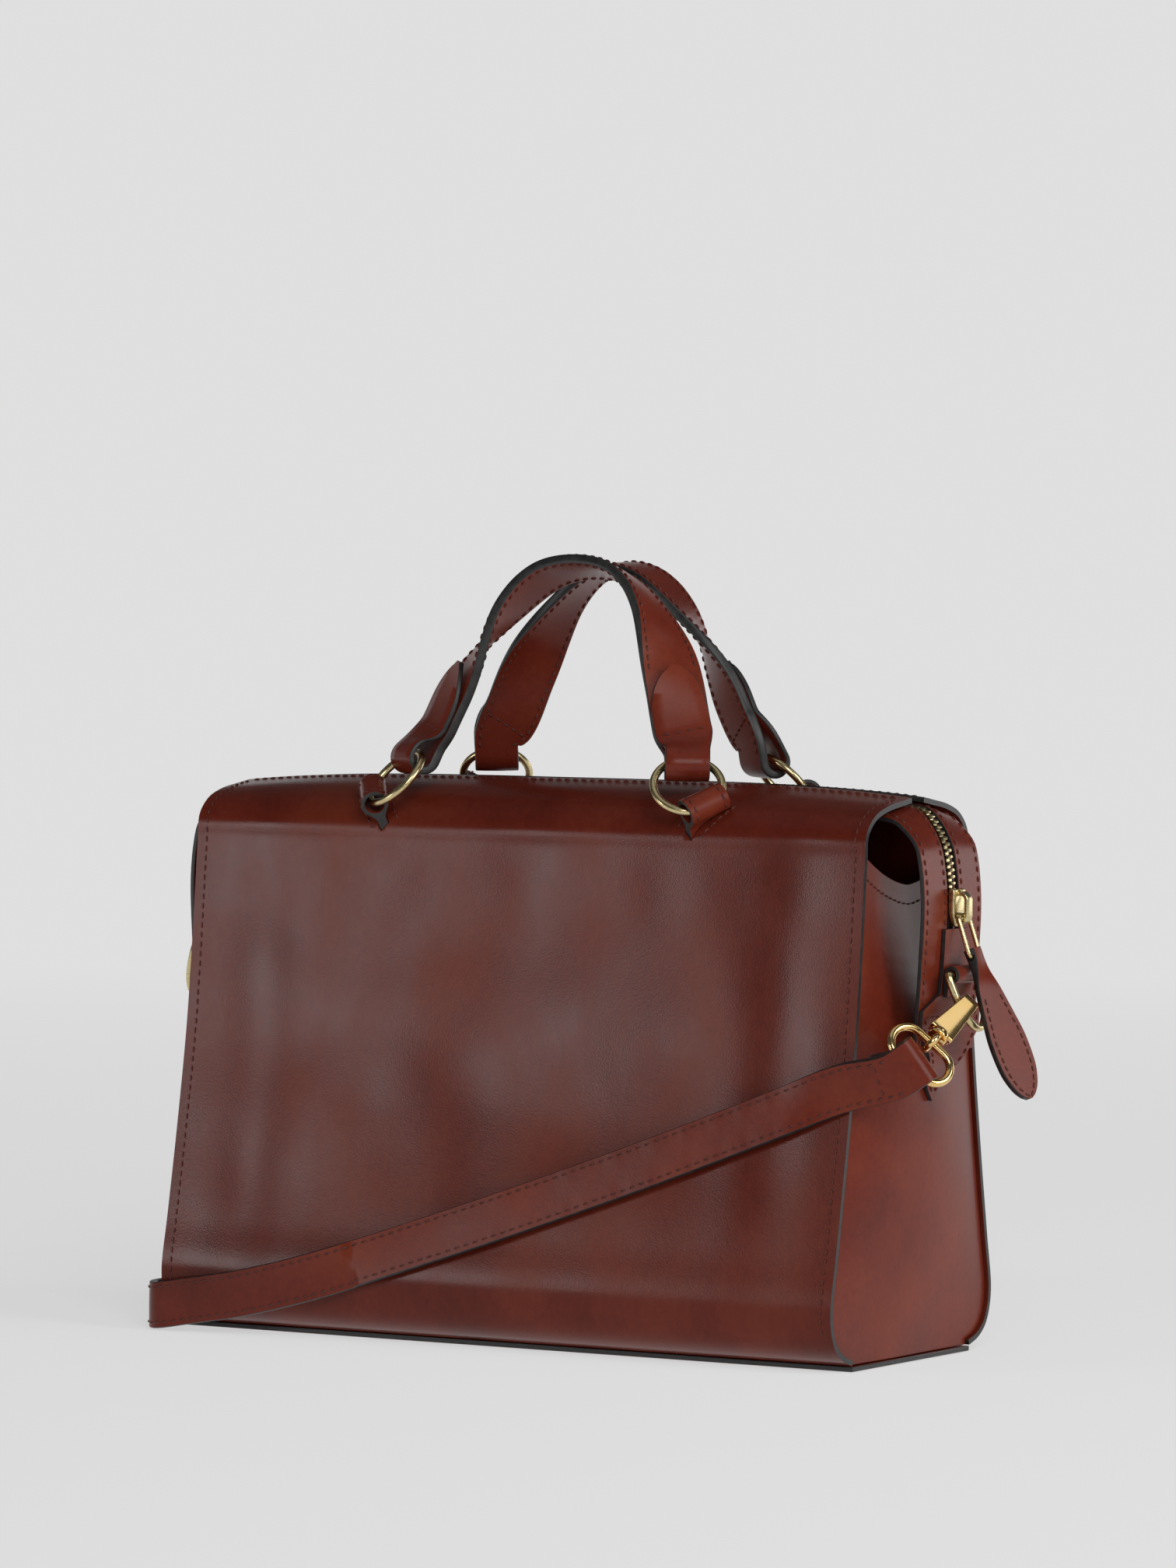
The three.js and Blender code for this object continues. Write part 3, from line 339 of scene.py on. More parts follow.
def newPiece(name, points, faces, slots, marks=None, smooth=35):
    mesh = bpy.data.meshes.new(name)
    mesh.from_pydata([Vector(p) * mm for p in points], [], faces)
    piece = placed(name, mesh, slots)
    if marks:
        mesh.polygons.foreach_set("material_index", marks)
    work = bmesh.new()
    work.from_mesh(mesh)
    bmesh.ops.recalc_face_normals(work, faces=work.faces)
    work.to_mesh(mesh)
    work.free()
    bpy.ops.object.shade_smooth_by_angle(angle=math.radians(smooth))
    return piece


def skin(faces, start, rings, sides):
    # faces round a row of rings of points, with one more at either end
    for r in range(rings - 1):
        for k in range(sides):
            a, b = start + r * sides, (k + 1) % sides
            faces.append((a + k, a + b, a + sides + b, a + sides + k))
    for end in (0, rings - 1):
        faces.append(tuple(start + end * sides + k for k in range(sides)))


def finish(piece, *nodes, body="bag", slotName="chestnut_leather"):
    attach(piece, body)
    if nodes:
        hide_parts(*nodes)
    return piece


def sheet(name, outer, inner, slots):
    rows, columns = len(outer), len(outer[0])
    back = rows * columns
    faces, marks = [], []

    def quad(a, b, c, d, mark):
        faces.append((a, b, c, d))
        marks.append(mark)

    for i in range(rows - 1):
        for j in range(columns - 1):
            a, b = i * columns + j, (i + 1) * columns + j
            quad(a, a + 1, b + 1, b, 0)
            quad(back + a, back + b, back + b + 1, back + a + 1, 0)
    for j in range(columns - 1):
        top = (rows - 1) * columns + j
        quad(j, back + j, back + j + 1, j + 1, 1)
        quad(top, top + 1, back + top + 1, back + top, 1)
    for i in range(rows - 1):
        a, b = i * columns, (i + 1) * columns
        quad(a, b, back + b, back + a, 1)
        quad(a + columns - 1, back + a + columns - 1, back + b + columns - 1, b + columns - 1, 1)
    points = [p for row in outer for p in row] + [p for row in inner for p in row]
    return newPiece(name, points, faces, slots, marks)


# a strip's section: flat faces, round painted edges; the second number marks the edge
stripSection = [(-1, -0.45, 1), (-0.99, -0.78, 1), (-0.965, -1, 0), (-0.5, -1.06, 0), (0, -1.08, 0),
                (0.5, -1.06, 0), (0.965, -1, 1), (0.99, -0.78, 1), (1, -0.45, 1), (1, 0.45, 1),
                (0.99, 0.78, 1), (0.965, 1, 0), (0.5, 1.06, 0), (0, 1.08, 0), (-0.5, 1.06, 0),
                (-0.965, 1, 1), (-0.99, 0.78, 1), (-1, 0.45, 1)]


def ribbon(name, stations, slots):
    sections = []
    for at, across, face, width, wall in stations:
        half = width / 2
        sections.append([at + across * (half * a if abs(a) < 0.9 else math.copysign(
            half - (1 - abs(a)) * 11, a)) + face * (b * wall / 2) for a, b, _ in stripSection])
    faces = []
    skin(faces, 0, len(sections), len(stripSection))
    marks = [mark for _, _, mark in stripSection] * (len(sections) - 1) + [1, 1]
    return newPiece(name, [p for section in sections for p in section], faces, slots, marks, 40)


def stationsAlong(points, shares, turned, width, wall):
    path = Path(points, 30)
    stations = []
    for share in shares:
        at, along = path.at(share), path.along(share)
        across = turned(at, share)
        across = (across - along * across.dot(along)).normalized()
        stations.append([at, across, across.cross(along).normalized(), width, wall])
    return stations, path.length


def foldedTail(stations, length, bore, wall, widthAt, flare=0):
    first = stations[0]
    away = -first[2]
    hub = first[0] + away * (first[4] / 2 + bore)
    along = stations[1][0] - first[0]
    along = (along - away * along.dot(away)).normalized()
    tail, run = [], 0
    for i, (at, across, face, _, mainWall) in enumerate(stations):
        if i:
            run += (at - stations[i - 1][0]).length
        spread = mix(2 * bore, bag["gap"], ease(run, 0, 0.4 * length)) + flare * ease(run / length, 0.45, 1)
        tail.insert(0, [at - face * ((mainWall + wall) / 2 + spread), across, -face,
                        widthAt(min(run / length, 1)), wall])
        if run >= length:
            break
    steps = 14
    for i in range(1, steps):
        angle = math.pi * i / steps
        size = mix(wall, first[4], i / steps)
        outward = math.cos(angle) * away - math.sin(angle) * along
        tail.append([hub + outward * (bore + size / 2), first[1], outward, first[3], size])
    return tail


# one stitch, repeated: a thread that dips into the leather at both ends
stitch = {"pitch": 3.7, "length": 2.7, "radius": 0.36}


def stitchRows(name, rows, material, pitch=None):
    pitch = pitch or stitch["pitch"]
    points, faces = [], []
    for row in rows:
        runs = [0.0]
        for (a, _), (b, _) in zip(row, row[1:]):
            runs.append(runs[-1] + (b - a).length)
        count = max(1, int(runs[-1] / pitch))
        j = 0
        for i in range(count):
            wanted = (i + 0.5) * runs[-1] / count
            while j < len(runs) - 2 and runs[j + 1] < wanted:
                j += 1
            t = (wanted - runs[j]) / max(runs[j + 1] - runs[j], 1e-6)
            at = row[j][0].lerp(row[j + 1][0], t)
            up = row[j][1].lerp(row[j + 1][1], t).normalized()
            along = (row[j + 1][0] - row[j][0]).normalized()
            side = up.cross(along).normalized()
            wobble = 0.1 * noise.noise(at * 0.7)
            start = len(points)
            for x, lift, size in ((-0.5, -0.3, 0.1), (-0.34, 0.02, 0.85), (0, 0.14, 1), (0.34, 0.02, 0.85),
                                  (0.5, -0.3, 0.1)):
                middle = at + along * (x * stitch["length"]) + up * lift + side * (wobble + 0.12 * x)
                for k in range(5):
                    angle = 2 * math.pi * k / 5
                    points.append(middle + stitch["radius"] * size
                                  * (math.cos(angle) * side + math.sin(angle) * up))
            skin(faces, start, 5, 5)
    finish(newPiece(name, points, faces, [material], smooth=60))


# materials

def srgb(text):
    channel = [int(text[i:i + 2], 16) / 255 for i in (1, 3, 5)]
    return tuple(c / 12.92 if c <= 0.04045 else ((c + 0.055) / 1.055) ** 2.4 for c in channel) + (1,)


def addNode(material, kind, values=None, links=None, **settings):
    node = material.node_tree.nodes.new(kind)
    for key, value in settings.items():
        setattr(node, key, value)
    for key, value in (values or {}).items():
        node.inputs[key].default_value = value
    for key, source in (links or {}).items():
        material.node_tree.links.new(source, node.inputs[key])
    return node


def startMaterial(name):
    material = bpy.data.materials.new(name)
    material.use_nodes = True
    shader = material.node_tree.nodes["Principled BSDF"]
    place = addNode(material, "ShaderNodeTexCoord").outputs["Object"]
    return material, shader, place


def polishedLeather(name, deep, main, light, rough=0.25, streak=(1, 1, 0.6)):
    # waxed hide rolled smooth: mottled dye, tight pores, soft gloss
    material, shader, place = startMaterial(name)
    stretched = addNode(material, "ShaderNodeMapping", {"Scale": streak}, {"Vector": place}).outputs[0]
    mottle = addNode(material, "ShaderNodeTexNoise", {"Scale": 22, "Detail": 4, "Roughness": 0.55},
                     {"Vector": stretched}).outputs[0]
    fine = addNode(material, "ShaderNodeTexNoise", {"Scale": 420, "Detail": 3, "Roughness": 0.6},
                   {"Vector": stretched}).outputs[0]
    both = addNode(material, "ShaderNodeMath", {1: 0.35}, {0: fine}, operation="MULTIPLY").outputs[0]
    total = addNode(material, "ShaderNodeMath", {}, {0: mottle, 1: both}, operation="ADD").outputs[0]
    ramp = addNode(material, "ShaderNodeValToRGB", {}, {"Fac": total})
    ramp.color_ramp.elements[0].position = 0.34
    ramp.color_ramp.elements[0].color = srgb(deep)
    ramp.color_ramp.elements[1].position = 0.98
    ramp.color_ramp.elements[1].color = srgb(light)
    ramp.color_ramp.elements.new(0.66).color = srgb(main)
    pores = addNode(material, "ShaderNodeTexVoronoi", {"Scale": 1500, "Randomness": 1}, {"Vector": place},
                    feature="F1").outputs["Distance"]
    grain = addNode(material, "ShaderNodeTexNoise", {"Scale": 900, "Detail": 2}, {"Vector": place}).outputs[0]
    relief = addNode(material, "ShaderNodeMath", {}, {0: pores, 1: grain}, operation="ADD").outputs[0]
    bump = addNode(material, "ShaderNodeBump", {"Strength": 0.14, "Distance": 0.0001}, {"Height": relief})
    wear = addNode(material, "ShaderNodeMapRange",
                   {"From Min": 0.35, "From Max": 0.7, "To Min": rough - 0.03, "To Max": rough + 0.06},
                   {"Value": mottle}).outputs[0]
    links = material.node_tree.links
    links.new(ramp.outputs[0], shader.inputs["Base Color"])
    links.new(bump.outputs[0], shader.inputs["Normal"])
    links.new(wear, shader.inputs["Roughness"])
    shader.inputs["IOR"].default_value = 1.48
    shader.inputs["Specular IOR Level"].default_value = 0.2
    return material


def plainSurface(name, color, dark, rough, scale, metallic=0, bumpSize=0, stretch=(1, 1, 1)):
    material, shader, place = startMaterial(name)
    stretched = addNode(material, "ShaderNodeMapping", {"Scale": stretch}, {"Vector": place}).outputs[0]
    pattern = addNode(material, "ShaderNodeTexNoise", {"Scale": scale, "Detail": 3},
                      {"Vector": stretched}).outputs[0]
    ramp = addNode(material, "ShaderNodeValToRGB", {}, {"Fac": pattern})
    ramp.color_ramp.elements[0].position, ramp.color_ramp.elements[0].color = 0.35, srgb(dark)
    ramp.color_ramp.elements[1].position, ramp.color_ramp.elements[1].color = 0.65, srgb(color)
    material.node_tree.links.new(ramp.outputs[0], shader.inputs["Base Color"])
    spread = addNode(material, "ShaderNodeMapRange", {"To Min": rough - 0.05, "To Max": rough + 0.07},
                     {"Value": pattern}).outputs[0]
    material.node_tree.links.new(spread, shader.inputs["Roughness"])
    if bumpSize:
        bump = addNode(material, "ShaderNodeBump", {"Strength": bumpSize, "Distance": 0.0002},
                       {"Height": pattern})
        material.node_tree.links.new(bump.outputs[0], shader.inputs["Normal"])
    shader.inputs["Metallic"].default_value = metallic
    return material


bodyLeather = polishedLeather("chestnut_bridle_leather", "#4c1a11", "#622317", "#73301d")
strapLeather = polishedLeather("chestnut_strap_leather", "#541c11", "#6c281a", "#7d3520", rough=0.29,
                               streak=(1, 1, 1))
edgePaint = plainSurface("black_edge_paint", "#2b2a29", "#1b1a1a", 0.42, 300, bumpSize=0.2)
strapSlots = [strapLeather, edgePaint]
thread = plainSurface("waxed_linen_thread", "#642a1d", "#3f1810", 0.55, 1500, bumpSize=0.4)
tape = plainSurface("woven_zip_tape", "#2b1a17", "#1a0f0d", 0.8, 1200, bumpSize=0.5)
paleBrass = plainSurface("brushed_antique_brass", "#dccd9f", "#cbb785", 0.25, 500, metallic=1, bumpSize=0.03,
                         stretch=(1, 1, 6))
gold = plainSurface("polished_gilt_brass", "#f6d596", "#f0c982", 0.12, 60, metallic=1)
print("materials made")

# panels


def softSurface(x, z, side):
    # slack of a soft bag: long shallow waves, at most half a millimetre or so
    place = Vector((x * 0.013, side * 3.1, z * 0.011))
    return 0.9 * noise.noise(place) + 0.35 * noise.noise(place * 3.1)


def panelPoint(side, across, share, inset):
    depth, height = profileAt(share, inset)
    x = across * bag["width"] / 2
    level = height / bag["height"]
    slack = (softSurface(x, height, side) * (1 - across ** 8) * ease(level, 0.06, 0.3)
             * (1 - ease(level, 0.85, 0.97)))
    return Vector((x, side * (depth - hollowAt(across, level) + slack), height + crownAt(across, depth)))


def spacedShares(low, high, counts):
    bulge = shareWhere(lambda d, h: h >= 0.12 * bag["height"])
    shoulder = shareWhere(lambda d, h: h >= 0.89 * bag["height"])
    edges = [0, bulge, shoulder, 1]
    shares = [mix(edges[k], edges[k + 1], i / counts[k]) for k in range(3) for i in range(counts[k])] + [1]
    return [s for s in shares if low <= s <= high]


# handle rings and loops: where they are, as in the solids
ringSizes = {"across": 64.5, "out": 37.4, "up": 215.3, "radius": 13, "wire": 1.5, "turn": 32, "lean": 43}
loopSizes = {"turn": -58, "width": 17, "wall": 1.6, "tail": 12}
handleSizes = {"width": 22.5, "wall": 3.6, "tab": 40, "tabWall": 2, "crown": 297, "shift": 5, "fold": 17,
               "frontLean": 23, "rearLean": 3, "frontRound": 0.4, "rearRound": 0.5, "about": 204}
turn, lean = math.radians(ringSizes["turn"]), math.radians(ringSizes["lean"])
ringAcross = Vector((math.cos(turn), math.sin(turn), 0))
ringUp = Vector((-math.sin(lean) * math.sin(turn), math.sin(lean) * math.cos(turn), math.cos(lean)))
slope = math.asin(loopSizes["width"] / 2 / ringSizes["radius"])
ringBow = (ringSizes["radius"] * (1 - math.cos(slope)) + ringSizes["wire"] / math.cos(slope)
           - ringSizes["wire"]) / 2
loopBore = ringSizes["wire"] + bag["gap"] + ringBow + 0.15
loopNeck = loopSizes["wall"] + 0.2


def quarter(v, sideX, sideY):
    return Vector((v.x * sideX, -v.y * sideY, v.z))


def ringFrame(sideX, sideY):
    across, up = quarter(ringAcross, sideX, sideY), quarter(ringUp, sideX, sideY)
    centre = Vector((sideX * ringSizes["across"] + handleSizes["shift"], sideY * ringSizes["out"],
                     ringSizes["up"]))
    return across, up, across.cross(up), centre


def loopMatrix(sideX, sideY):
    across, up, _, centre = ringFrame(sideX, sideY)
    angle = math.radians(loopSizes["turn"])
    radial = across * math.cos(angle) + up * math.sin(angle)
    along = -across * math.sin(angle) + up * math.cos(angle)
    at = centre + radial * (ringSizes["radius"] - ringBow)
    down = Vector((0, -0.7 * sideY, -0.72))
    tail = (down - along * down.dot(along)).normalized()
    place = Matrix(((-tail).cross(along), -tail, along)).transposed().to_4x4()
    place.translation = at
    return place


def loopOutline(margin, steps=26):
    outer = loopBore + loopSizes["wall"] + margin
    neck = loopNeck + margin
    start = math.radians(-35)
    side = []
    for i in range(9):
        t = i / 9
        weights = (1 - t) ** 2, 2 * t * (1 - t), t ** 2
        side.append((weights[0] * neck + weights[1] * (neck + 0.5) + weights[2] * outer * math.cos(start),
                     -weights[0] * (outer + 1.6) - weights[1] * outer + weights[2] * outer * math.sin(start)))
    points = [(neck, -loopSizes["tail"])] + side
    for i in range(steps + 1):
        angle = mix(start, math.pi - start, i / steps)
        points.append((outer * math.cos(angle), outer * math.sin(angle)))
    return points + [(-x, y) for x, y in side[::-1]] + [(-neck, -loopSizes["tail"])]


def prism(name, outline, wall, slots, place, hole=None):
    count = len(outline)
    points = [Vector((x, y, z)) for z in (-wall / 2, wall / 2) for x, y in outline]
    faces = [(i, (i + 1) % count, count + (i + 1) % count, count + i) for i in range(count)]
    if not hole:
        faces += [tuple(range(count))[::-1], tuple(range(count, 2 * count))]
        return newPiece(name, [place @ p for p in points], faces, slots)
    start, sides = len(points), len(hole)
    points += [Vector((x, y, z)) for z in (-wall / 2, wall / 2) for x, y in hole]
    faces += [(start + (i + 1) % sides, start + i, start + sides + i, start + sides + (i + 1) % sides)
              for i in range(sides)]
    mesh = bpy.data.meshes.new(name)
    work = bmesh.new()
    corners = [work.verts.new(place @ p * mm) for p in points]
    for face in faces:
        work.faces.new([corners[i] for i in face])
    for low in (0, 1):
        ring = [corners[low * count + i] for i in range(count)]
        inner = [corners[2 * count + low * sides + i] for i in range(sides)]
        edges = [work.edges.get((ring[i], ring[(i + 1) % count])) for i in range(count)]
        edges += [work.edges.get((inner[i], inner[(i + 1) % sides])) for i in range(sides)]
        made = bmesh.ops.triangle_fill(work, edges=edges, use_beauty=True)
        for face in (g for g in made["geom"] if isinstance(g, bmesh.types.BMFace)):
            face.material_index = 1
    bmesh.ops.recalc_face_normals(work, faces=work.faces)
    work.to_mesh(mesh)
    work.free()
    piece = placed(name, mesh, slots)
    bpy.ops.object.shade_smooth_by_angle(angle=math.radians(35))
    return piece


def panelSpot(side, across, share, lift=0.0):
    at = panelPoint(side, across, share, -lift)
    along = profile.along(share)
    return at, Vector((0, side * along.z, -along.y))


stitchLines = []
shares = spacedShares(0, 1, (16, 44, 26))
for side, end in ((-1, "front"), (1, "rear")):
    columns = 72
    grids = [[[panelPoint(side, 2 * j / columns - 1, share, inset) for j in range(columns + 1)]
              for share in shares] for inset in (0, bag["wall"])]
    panel = sheet(end + "_panel_leather", grids[0], grids[1], [bodyLeather, edgePaint])
    for sideX in (-1, 1):
        cutter = prism("cutter", loopOutline(bag["gap"]), loopSizes["width"] + 0.6, [bodyLeather],
                       loopMatrix(sideX, side))
        joined(panel, cutter, "DIFFERENCE")
    bevelled(panel, 0.4)
    finish(panel, end + "_panel")
    inFrom = 1 - 2 * 4.2 / bag["width"]
    low = shareWhere(lambda d, h: h >= 14)
    for sideX in (-1, 1):
        stitchLines.append([panelSpot(side, sideX * inFrom, mix(low, 0.975, i / 90), 0.1) for i in range(91)])
    stitchLines.append([panelSpot(side, mix(-inFrom, inFrom, i / 40), 0.985, 0.1) for i in range(41)])
stitchRows("panel_edge_stitches", stitchLines, thread)


def onPanel(side, point):
    across = 2 * point.x / bag["width"]
    return min((panelSpot(side, across, i / 300, 0.1) for i in range(210, 297)),
               key=lambda spot: (spot[0] - point).length)


slotLines = []
for side in (-1, 1):
    for sideX in (-1, 1):
        place = loopMatrix(sideX, side)
        for out in (-5.6, 5.6):
            slotLines.append([onPanel(side, place @ Vector((out, -7, mix(-11, 11, i / 16))))
                              for i in range(17)])
        outer = loopBore + loopSizes["wall"]
        for edge in (-1, 1):
            line = []
            for i in range(25):
                angle = math.radians(mix(-25, 205, i / 24))
                away = Vector((math.cos(angle), math.sin(angle), 0))
                across = Vector((0, 0, edge * (loopSizes["width"] / 2 - 2.3)))
                line.append((place @ (away * (outer + 0.05) + across), place.to_3x3() @ away))
            slotLines.append(line)
stitchRows("handle_loop_stitches", slotLines, thread, 3.2)

baseCorners = [Vector((x * bag["width"] / 2, y * bag["baseDepth"] / 2, z))
               for z in (0, bag["baseWall"]) for x, y in ((-1, -1), (1, -1), (1, 1), (-1, 1))]
base = newPiece("base_leather", baseCorners,
                [(3, 2, 1, 0), (4, 5, 6, 7), (0, 1, 5, 4), (1, 2, 6, 5), (2, 3, 7, 6), (3, 0, 4, 7)],
                [bodyLeather, edgePaint], [0, 0, 1, 1, 1, 1])
finish(bevelled(base, 0.4), "base_panel")
print("panels made")

# side walls
gussetTop = shareWhere(lambda d, h: h >= 0.9 * bag["height"])
swellCurve = Path([(0, 0, 0), (0.12, 0.35, 0), (0.3, 0.75, 0), (0.5, 1, 0), (0.64, 0.8, 0), (0.82, 0.1, 0),
                   (1, -0.3, 0)])


def swellAt(up):
    for point in swellCurve.points:
        if point.x >= up:
            return point.y
    return -0.3


def gussetPoint(row, column, inset):
    if row < 0:
        depth, height = bag["baseDepth"] / 2 - 2 * bag["gap"], footHeight
    else:
        depth, height = profileAt(row * gussetTop, bag["wall"] + bag["gap"])
    across = 2 * column - 1
    dip = bag["gussetDip"] * (1 - abs(across) ** 1.5) * ease(row, 0.55, 1)
    swell = bag["gussetSwell"] * (1 - across ** 2) * swellAt(height / (0.9 * bag["height"]))
    x = bag["width"] / 2 - bag["gussetInset"] - inset + swell
    x += 0.5 * noise.noise(Vector((3.3, across * depth * 0.03, height * 0.02))) * (1 - across ** 4)
    return Vector((x, across * depth, height - dip))


# zip band
bandEnd = bag["width"] / 2
turnRows = [(-0.26, 0), (0.2, 0.018), (0.53, 0.075), (0.8, 0.155), (0.92, 0.24), (0.98, 0.33), (1, 0.43),
            (0.94, 0.65), (0.8, 1)]


def stripTop(x, depth):
    return topAt(x, depth) - bag["wall"] - 2 * bag["gap"]


bandTop = stripTop(bandEnd, bag["mouthGap"] / 2)
rightHalf = [Vector((s * bandEnd, 0, stripTop(s * bandEnd, bag["mouthGap"] / 2)))
             for s in (0, 0.35, 0.6, 0.8, 0.93)]
rightHalf += [Vector((bandEnd + out * zipSizes["proud"], 0, bandTop - down * zipSizes["drop"]))
              for out, down in turnRows]
bandPath = Path([Vector((-p.x, 0, p.z)) for p in rightHalf[:0:-1]] + rightHalf)
topFall = {}


def fallAt(y):
    key = round(max(abs(y), bag["mouthGap"] / 2), 2)
    if key not in topFall:
        topFall[key] = topAt(0, bag["mouthGap"] / 2) - topAt(0, key)
    return topFall[key]


def bandPoint(share, y, inset):
    point, along = bandPath.at(share), bandPath.along(share)
    upright = min(1, max(0, (bandTop - point.z) / (0.2 * zipSizes["drop"])))
    fall = fallAt(y) * (1 - ease(upright, 0, 1))
    return Vector((point.x + along.z * inset, y, point.z - along.x * inset - fall))


def bandShareAt(drop):
    for i in range(300, 601):
        if bandPath.at(i / 600).z <= bandTop - drop:
            return i / 600
    return 1


def bandShares(drop, top=24, side=40):
    end, corner = bandShareAt(drop), bandShareAt(0.02)
    right = [mix(0.5, corner, 2 * i / top) for i in range(top // 2 + 1)]
    right += [mix(corner, end, i / side) for i in range(1, side + 1)]
    return [1 - s for s in right[:0:-1]] + right


def bandNormal(share):
    along = bandPath.along(share)
    return Vector((-along.z, 0, along.x))


stripLines = []
inner = zipSizes["chain"] / 2 + bag["gap"]
for sideY, end in ((-1, "front"), (1, "rear")):
    grids = [[[bandPoint(share, sideY * mix(inner, zipSizes["width"] / 2, j / 8), inset) for j in range(9)]
              for share in bandShares(zipSizes["drop"])] for inset in (0, zipSizes["wall"])]
    strip = bevelled(sheet("zip_strip_leather_" + end, grids[0], grids[1], strapSlots), 0.35)
    finish(strip, "zip_strip_" + end)
    for y in (inner + 2.3, zipSizes["width"] / 2 - 2.4):
        stripLines.append([(bandPoint(s, sideY * y, -0.08), bandNormal(s))
                           for s in bandShares(zipSizes["drop"] - 3)])
stitchRows("zip_strip_stitches", stripLines, thread)

grids = [[[bandPoint(share, mix(-1, 1, j / 4) * zipSizes["chain"] / 2, inset) for j in range(5)]
          for share in bandShares(zipSizes["reach"])] for inset in (2.0, 3.0)]
finish(sheet("zip_tape", grids[0], grids[1], [tape, tape]), "zip_chain")


def zipTeeth():
    points, faces = [], []
    low, high = 1 - bandShareAt(zipSizes["reach"]), bandShareAt(zipSizes["slider"] - 4)
    run = (high - low) * bandPath.length
    count = int(2 * run / zipSizes["toothPitch"])
    form = [(-0.5, 0.8), (0.1, 1), (0.5, 0.62)]  # along the tooth: place and thickness share
    for i in range(count):
        share = mix(low, high, i / count)
        side = 1 if i % 2 else -1
        along, up = bandPath.along(share), bandNormal(share)
        start = len(points)
        for x, size in form:
            y = side * (1.15 - x * zipSizes["toothLength"] * 1.15)
            middle = bandPoint(share, y, 0.95)
            for a, b in ((-1, -1), (1, -1), (1, 0.7), (0.6, 1), (-0.6, 1), (-1, 0.7)):
                points.append(middle + along * (a * size * zipSizes["toothThick"] / 2)
                              + up * (b * size * 0.85))
        skin(faces, start, len(form), 6)
    finish(newPiece("zip_teeth", points, faces, [paleBrass], smooth=25), slotName="pale_brass")


zipTeeth()
print("zip made")

# side walls
gussetRows = [-1] + [i / 60 for i in range(61)]
grids = [[[gussetPoint(row, j / 32, inset) for j in range(33)] for row in gussetRows]
         for inset in (0, bag["gussetWall"])]
gusset = bevelled(sheet("gusset_leather", grids[0], grids[1], strapSlots), 0.3)
finishPair(gusset, "gusset")


def gussetSpot(row, column, lift=0.1):
    a, b = gussetPoint(row, column - 0.01, -lift), gussetPoint(row, column + 0.01, -lift)
    c = gussetPoint(max(row - 0.01, 0.001), column, -lift)
    return (a + b) / 2, (b - a).cross(a - c).normalized()


hem = [gussetSpot(0.962, mix(0.03, 0.97, i / 40)) for i in range(41)]
hem = [(at, n if n.x > 0 else -n) for at, n in hem]
pairLines = [hem]

# zip slider: a plate narrowed at the foot, with a bent bridge for the bail
slider = {"width": 9.6, "length": 14, "plate": 2.4, "rise": 4.6, "bridge": 4.4, "strip": 1.6, "post": 2}
bail = {"wire": 0.9, "length": 18, "width": 10.4, "swing": 19}
pull = {"length": 60, "width": 16, "wall": 3, "turn": 58, "swing": 22}


def bandFrame(drop, proud):
    share = bandShareAt(drop)
    at, along = bandPoint(share, 0, -proud), bandPath.along(share)
    return at, along, Vector((-along.z, 0, along.x))


sliderAt, sliderDown, sliderOut = bandFrame(zipSizes["slider"], bag["gap"])
yAxis = Vector((0, 1, 0))


def makeSlider():
    half, length = slider["width"] / 2, slider["length"] / 2
    outline = [(-half, length), (-half, -0.2 * length), (-0.62 * half, -length), (0.62 * half, -length),
               (half, -0.2 * length), (half, length), (0.3 * half, length), (0.16 * half, 0.8 * length),
               (-0.16 * half, 0.8 * length), (-0.3 * half, length)]
    body = extruded("zip_slider_brass", outline, slider["plate"], paleBrass)
    settle(body, Matrix.Translation((0, 0, slider["plate"] / 2)))
    softened(body, 0.5)
    bpy.ops.mesh.primitive_plane_add(size=1)
    bridge = named("bridge", paleBrass)
    low, reach, bend = slider["plate"] - 0.6, 0.9 * length, 1.5
    settle(bridge, Matrix.Translation((0, -reach + slider["post"] / 2, low))
           @ Matrix.Diagonal((slider["bridge"] * mm, slider["post"] * 0.8 * mm, 1, 1)))
    selectOnly(bridge)
    bpy.ops.object.mode_set(mode="EDIT")
    bpy.ops.mesh.select_all(action="SELECT")
    top = slider["plate"] + slider["rise"] - 0.4
    turnHeight = top - slider["strip"] - bend
    moves = [((0, 0, turnHeight - low), None), (None, -1),
             ((0, 2 * (reach - slider["post"] - bend), 0), None), (None, 1),
             ((0, 0, low - turnHeight), None)]
    for move, turning in moves:
        if move:
            bpy.ops.mesh.extrude_region_move(
                TRANSFORM_OT_translate={"value": tuple(v * mm for v in move)})
        else:
            centre = (0, turning * (reach - slider["post"] - bend) * mm, turnHeight * mm)
            bpy.ops.mesh.spin(steps=8, angle=math.radians(90), center=centre, axis=(1, 0, 0))
    closeUp()
    softened(bridge, 0.45)
    merged(body, bridge)
    settle(body, axes(yAxis, -sliderDown, sliderOut, sliderAt))
    bpy.ops.object.shade_smooth_by_angle(angle=math.radians(40))
    return finish(body, "zip_slider", slotName="pale_brass")


makeSlider()


def roundedPath(centre, long, short, length, width, corner, steps=10):
    points = []
    for number, (end, side) in enumerate([(1, 1), (-1, 1), (-1, -1), (1, -1)]):
        for i in range(steps + 1):
            angle = math.pi / 2 * (number + i / steps)
            points.append(centre + long * (end * (length / 2 - corner) + corner * math.cos(angle))
                          + short * (side * (width / 2 - corner) + corner * math.sin(angle)))
    return points


